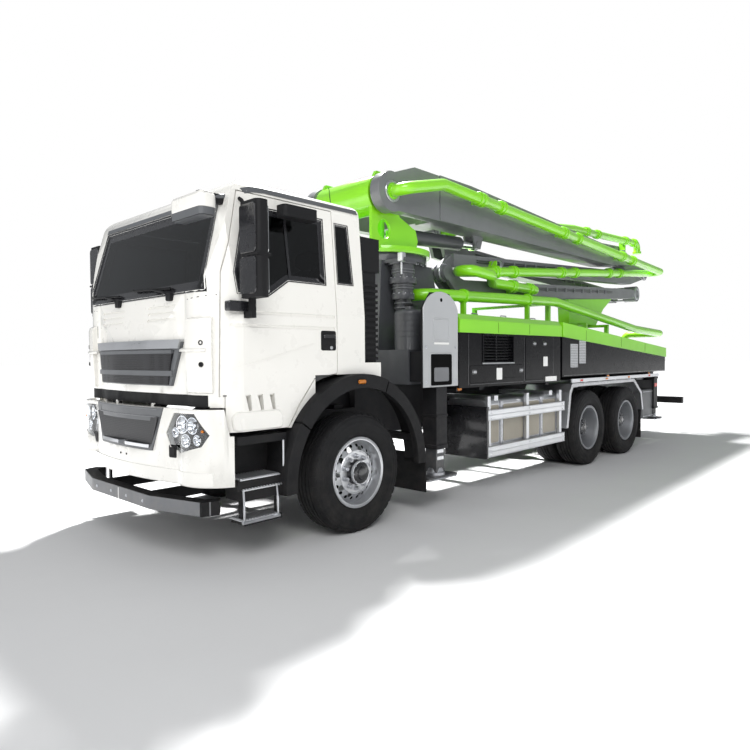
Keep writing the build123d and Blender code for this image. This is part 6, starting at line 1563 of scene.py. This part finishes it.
def dress_rear():
    """Rim flange, bearings, ribs and apron of the hopper; flanges and tie rods of the pumping cylinders."""
    rear = Piece("hopper_parts", "chassis", "frame_grey", both=True)
    rear.slab("top", rectangle(HOPPER_REAR - 4, HOPPER_FRONT - 40, HOPPER_HALF - 1, HOPPER_HALF + 34),
              1468, 1496, 4)
    rear.paint("zinc")
    rear.repeat(lambda: rear.bolt((-8780, HOPPER_HALF + 34, 1482), (0, 1, 0), 7, 6), 8, (110, 0, 0))
    rear.paint("frame_grey")
    inner = HOPPER_HALF - 1
    rib = [(inner, 1150), (HOPPER_HALF + 10, 1150), (HOPPER_HALF + 30, 1468), (inner, 1468)]
    for x in (-8700, -8120):
        rear.slab("front", rib, x, x + 10, 2)
    bearing = ((46, 0), (132, 0), (132, 14), (98, 20), (84, 50), (46, 52))
    rear.lathe((-8350, HOPPER_HALF, PUMP_Z), (0, 1, 0), bearing, 28, True)
    rear.paint("zinc").bolt_ring((-8350, HOPPER_HALF + 14, PUMP_Z), (0, 1, 0), 114, 6, 9, 9)
    rear.lathe((-8350, HOPPER_HALF + 30, 1164), (0, 0, 1), ((7, 0), (7, 6), (4, 8), (4, 15), (0, 16)), 8)
    rear.paint("frame_grey")
    for x, inner, outer, width in ((-7864, 93, 128, 26), (-6822, 93, 128, 22), (-6488, 63, 98, 22),
                                   (-5030, 63, 90, 26)):
        flange = ((inner - 3, 0), (outer, 0), (outer, width), (inner - 3, width))
        rear.lathe((x - width / 2, PUMP_Y, PUMP_Z), (1, 0, 0), flange, 32, True)
    rear.paint("zinc")
    reach = TIE_ROD_CIRCLE * math.sqrt(0.5)
    y, z = PUMP_Y + reach, PUMP_Z + reach

    def tie_rod():
        rear.tube([(-7850, y, z), (-6830, y, z)], 9, 8)
        rear.lathe((-7846, y, z), (-1, 0, 0), ((16, -8), (16, 8), (0, 8)), 6)

    rear.ring(tie_rod, 4, (-7850, PUMP_Y, PUMP_Z), (1, 0, 0))
    rear.done()
    back = Piece("hopper_apron", "chassis", "frame_grey")
    back.slab("front", rectangle(-706, 706, 1468, 1496), HOPPER_REAR - 34, HOPPER_REAR + 1, 4)
    back.paint("zinc")
    back.repeat(lambda: back.bolt((HOPPER_REAR - 34, -660, 1482), (-1, 0, 0), 7, 6), 12, (0, 120, 0))
    back.paint("rubber")
    back.slab("front", rectangle(-640, 640, 1240, 1466, 30), HOPPER_REAR - 12, HOPPER_REAR - 2, 3)
    back.paint("frame_grey")
    back.slab("front", rectangle(-640, 640, 1428, 1452), HOPPER_REAR - 18, HOPPER_REAR - 11, 2)
    back.done()


# Cab interior

CAB_FLOOR = 1268
VENTS = (-860, -420, 300, 880)
DIALS = (480, 640)
DIAL_X, DIAL_Z = 1068, 1835
SEAT_SIDE = [(150, 1640), (262, 1640), (300, 1760), (215, 1850), (110, 1840)]
WHEEL_RADIUS, WHEEL_GRIP = 225, 17


def cushion(name, centre, half, lean, channels=3):
    """A stuffed pad: crowned faces, sides that pull in between the corners, sewn channels and a welt."""
    pad = Piece(name, "cab", "fabric")
    count, power = 26, 5.0
    turn = Matrix.Rotation(math.radians(lean), 3, "Y")

    def place(u, v, w):
        size = (abs(u) ** power + abs(v) ** power + abs(w) ** power) ** (1 / power)
        x, y, z = u / size, v / size, w / size
        crown = (1 - x * x) * (1 - y * y)
        seams = [(k + 1) * 2 / (channels + 1) for k in range(channels)]
        groove = sum(math.exp(-((y - seam + 1) / 0.045) ** 2) for seam in seams)
        groove *= max(0.0, 1 - abs(x) ** 6) * (1 if abs(z) > 0.6 else 0)
        px = x * half[0] * (1 - 0.045 * (1 - y * y))
        py = y * half[1] * (1 - 0.04 * (1 - x * x))
        pz = z * half[2] * (0.82 + 0.24 * crown - 0.16 * groove)
        return tuple(Vector(centre) + turn @ Vector((px, py, pz)))

    for axis in range(3):
        for sign in (-1, 1):
            points, faces = [], []
            for a in range(count + 1):
                for b in range(count + 1):
                    p, q = math.sin((a / count - 0.5) * math.pi), math.sin((b / count - 0.5) * math.pi)
                    triple = [p, q]
                    triple.insert(axis, sign)
                    points.append(place(*triple))
            for a in range(count):
                for b in range(count):
                    k = a * (count + 1) + b
                    faces.append((k, k + 1, k + count + 2, k + count + 1))
            pad.add(points, faces)
    made = pad.done()
    welt = Piece(f"{name}_welt", "cab", "interior")
    route = []
    for k in range(49):
        angle = 2 * math.pi * k / 48
        c, s = math.cos(angle), math.sin(angle)
        stretch = 1 / max(abs(c), abs(s))
        route.append(place(c * stretch * 0.93, s * stretch * 0.93, 0.93))
    welt.tube(route, 4, 6)
    welt.done()
    return made


def dress_interior():
    """Sprung seats with padded cushions, dashboard, dials and steering wheel, for the plain forms."""
    inside = Piece("cab_fittings", "cab", "interior", stands_for=("cab_interior",))
    for y in (560, -560):
        def bellows():
            for reach, z in ((188, CAB_FLOOR + 40), (198, CAB_FLOOR + 76)):
                fold = rectangle(435 - reach, 435 + reach, y - reach + 10, y + reach - 10, 30)
                inside.slab("top", fold, z, z + 34, 9)

        inside.repeat(bellows, 3, (0, 0, 72))
        inside.slab("top", rectangle(225, 640, y - 200, y + 200, 20), CAB_FLOOR - 2, CAB_FLOOR + 40, 5)
        inside.slab("top", rectangle(215, 690, y - 225, y + 225, 50), CAB_FLOOR + 250, CAB_FLOOR + 296, 10)
        inside.paint("trim_gloss")
        for low in (y - 262, y + 236):
            inside.slab("side", SEAT_SIDE, low, low + 26, 6)
        for post in (y - 70, y + 70):
            inside.tube([(70, post, 2290), (50, post, 2400)], 9, 8)
        inside.paint("interior")
        side = "left" if y > 0 else "right"
        cushion(f"seat_cushion_{side}", (462, y, 1632), (258, 238, 66), -3)
        cushion(f"seat_back_{side}", (140, y, 1995), (62, 228, 345), -6.5, 0)
        cushion(f"head_rest_{side}", (52, y, 2452), (48, 140, 82), -6.5, 0)
    front = [(1062, 1480), (1078, 1640), (1120, 1770), (1160, 1835), (1215, 1872), (1300, 1884),
             (1338, 1880), (1338, 1300), (1180, 1300), (1120, 1400)]
    inside.slab("side", front, -1000, 1000, 14)
    hood = [(1040, 1800), (1060, 1880), (1120, 1925), (1200, 1920), (1240, 1870), (1200, 1810)]
    inside.slab("side", hood, 380, 740, 14)
    inside.paint("hole_shade_and_dial_black")
    face = Vector((-0.9, 0, 0.35)).normalized()
    for y in DIALS:
        inside.lathe((DIAL_X, y, DIAL_Z), face, ((58, -12), (58, 9), (0, 9)), 28)
    inside.paint("aluminium")
    for y in DIALS:
        inside.lathe((DIAL_X, y, DIAL_Z), face, ((58, 0), (62, 0), (62, 12), (58, 12)), 28, True)
        pin = Vector((DIAL_X, y, DIAL_Z)) + face * 11
        inside.tube([tuple(pin), tuple(pin + Vector((14, 26, 34)))], 2.5, 6)
    inside.paint("trim_gloss")
    inside.block(1046, 1120, -180, 230, 1560, 1760, 6, 12)
    for y in VENTS:
        inside.block(1092, 1130, y - 70, y + 70, 1735, 1795, 4, 6)
    inside.paint("bar_grey")
    for y in VENTS:
        inside.repeat(lambda: inside.block(1085, 1100, y - 62, y + 62, 1742, 1747, 1.5), 4, (0, 0, 13))
    inside.repeat(lambda: inside.block(1036, 1050, -160, -126, 1700, 1724, 3, 5), 8, (0, 46, 0))
    for y in (-60, 60):
        inside.lathe((1048, y, 1610), (-1, 0, 0), ((26, 0), (26, 12), (20, 20), (0, 20)), 24)
    inside.paint("interior")
    inside.slab("side", [(1090, 1560), (1110, 1800), (1080, 1800), (960, 1905), (930, 1880), (1040, 1740)],
                500, 620, 12)
    way = Vector((-150, 0, 160)).normalized()
    hub = Vector((930, 560, 1905))
    turns = [k * math.pi / 6 for k in range(12)]
    rim = [(WHEEL_RADIUS + WHEEL_GRIP * math.cos(a), WHEEL_GRIP * math.sin(a)) for a in turns]
    inside.lathe(tuple(hub), tuple(way), rim, 48, True)
    inside.lathe(tuple(hub), tuple(way), ((70, -60), (78, -30), (74, -8), (60, 4), (0, 8)), 32)
    across_y, up = Vector((0, 1, 0)), way.cross(Vector((0, 1, 0)))
    for direction in (across_y, -across_y, up * -1 + across_y * 0.45, up * -1 - across_y * 0.45):
        reach = direction.normalized()
        spoke = (hub - way * 20 + reach * 60, hub - way * 8 + reach * 150, hub + reach * 218)
        inside.tube([tuple(point) for point in spoke], 15, 8, 30, 10)
    inside.paint("plastic")
    for sign in (1, -1):
        inside.tube([(985, 560 + sign * 50, 1850), (975, 560 + sign * 200, 1880)], 9, 8, 0, 7)
    inside.tube([(1010, 420, 1270), (1040, 425, 1380), (1060, 430, 1440)], 12, 8, 40)
    for y_low, y_high, z_high in ((470, 560, 1420), (600, 680, 1440)):
        inside.slab("front", rectangle(y_low, y_high, 1330, z_high, 10), 1020, 1032, 3)
    inside.block(1026, 1130, 505, 520, 1370, 1390, 2).block(1026, 1130, 635, 650, 1380, 1400, 2)
    inside.paint("rubber").block(240, 1320, -1100, 1100, CAB_FLOOR - 4, CAB_FLOOR + 4, 2)
    inside.paint("interior").block(-110, 60, -150, 150, CAB_FLOOR, CAB_FLOOR + 420, 14, 30)
    inside.done()


# Studio

FLOOR_REACH, FADE_FROM, FADE_TO = 160.0, 8.0, 22.0
SKY_COLOUR, SKY_STRENGTH = (0.93, 0.96, 1.0, 1), 0.36
LAMPS = (
    # name, place, target, size in metres, power
    ("key", (7000, 9500, 9500), (-1500, 0, 1500), 7.0, 1000),
    ("front", (11500, 500, 5200), (0, 0, 1800), 5.0, 230),
    ("back", (-6500, -5500, 14500), (-2500, 500, 1000), 1.3, 8500),
)


def add_floor():
    """Pale studio floor that brightens to white far from the object."""
    data = bpy.data.meshes.new("floor")
    square = rectangle(-FLOOR_REACH, FLOOR_REACH, -FLOOR_REACH, FLOOR_REACH)
    data.from_pydata([(x, y, 0) for x, y in square], [], [(0, 1, 2, 3)])
    floor = bpy.data.objects.new("floor", data)
    bpy.context.scene.collection.objects.link(floor)
    finish = surface("floor", (0.72, 0.72, 0.72), 0.75, vary=0.01, relief=0.02, grain=60)
    tree = finish.node_tree
    shader = next(node for node in tree.nodes if node.type == "BSDF_PRINCIPLED")
    place = tree.nodes.new("ShaderNodeTexCoord")
    length = tree.nodes.new("ShaderNodeVectorMath")
    length.operation = "LENGTH"
    tree.links.new(place.outputs["Object"], length.inputs[0])
    fade = tree.nodes.new("ShaderNodeMapRange")
    fade.inputs["From Min"].default_value = FADE_FROM
    fade.inputs["From Max"].default_value = FADE_TO
    tree.links.new(length.outputs["Value"], fade.inputs["Value"])
    tree.links.new(fade.outputs[0], shader.inputs["Emission Strength"])
    shader.inputs["Emission Color"].default_value = (1, 1, 1, 1)
    data.materials.append(finish)


def add_lamp(name, place, target, size, power):
    """A square soft light."""
    data = bpy.data.lights.new(name, "AREA")
    data.shape = "SQUARE"
    data.size = size
    data.energy = power
    lamp = bpy.data.objects.new(name, data)
    bpy.context.scene.collection.objects.link(lamp)
    lamp.location = metres(place)
    aim = metres(target) - lamp.location
    lamp.rotation_euler = aim.to_track_quat("-Z", "Y").to_euler()


def add_world():
    """White backdrop for the camera, softer sky light for the object."""
    world = bpy.data.worlds.new("studio")
    bpy.context.scene.world = world
    world.use_nodes = True
    tree = world.node_tree
    tree.nodes.clear()
    output = tree.nodes.new("ShaderNodeOutputWorld")
    mix = tree.nodes.new("ShaderNodeMixShader")
    path = tree.nodes.new("ShaderNodeLightPath")
    seen = tree.nodes.new("ShaderNodeBackground")
    seen.inputs["Color"].default_value = (1, 1, 1, 1)
    sky = tree.nodes.new("ShaderNodeBackground")
    sky.inputs["Color"].default_value = SKY_COLOUR
    sky.inputs["Strength"].default_value = SKY_STRENGTH
    tree.links.new(path.outputs["Is Camera Ray"], mix.inputs[0])
    tree.links.new(sky.outputs[0], mix.inputs[1])
    tree.links.new(seen.outputs[0], mix.inputs[2])
    tree.links.new(mix.outputs[0], output.inputs["Surface"])


def add_studio():
    add_floor()
    add_world()
    for lamp in LAMPS:
        add_lamp(*lamp)


# Everything in order

add_camera()
dress_nodes()
for dress in (
        dress_screen, dress_cab_front, dress_doors, dress_lamps, dress_bumper, dress_steps,
        dress_wheels, dress_boxes, dress_lids, dress_guards, dress_pipes, dress_arms,
        dress_base, dress_outriggers, dress_rear, dress_interior):
    dress()
add_studio()

bpy.context.scene.view_settings.view_transform = "Standard"
bpy.context.view_layer.update()
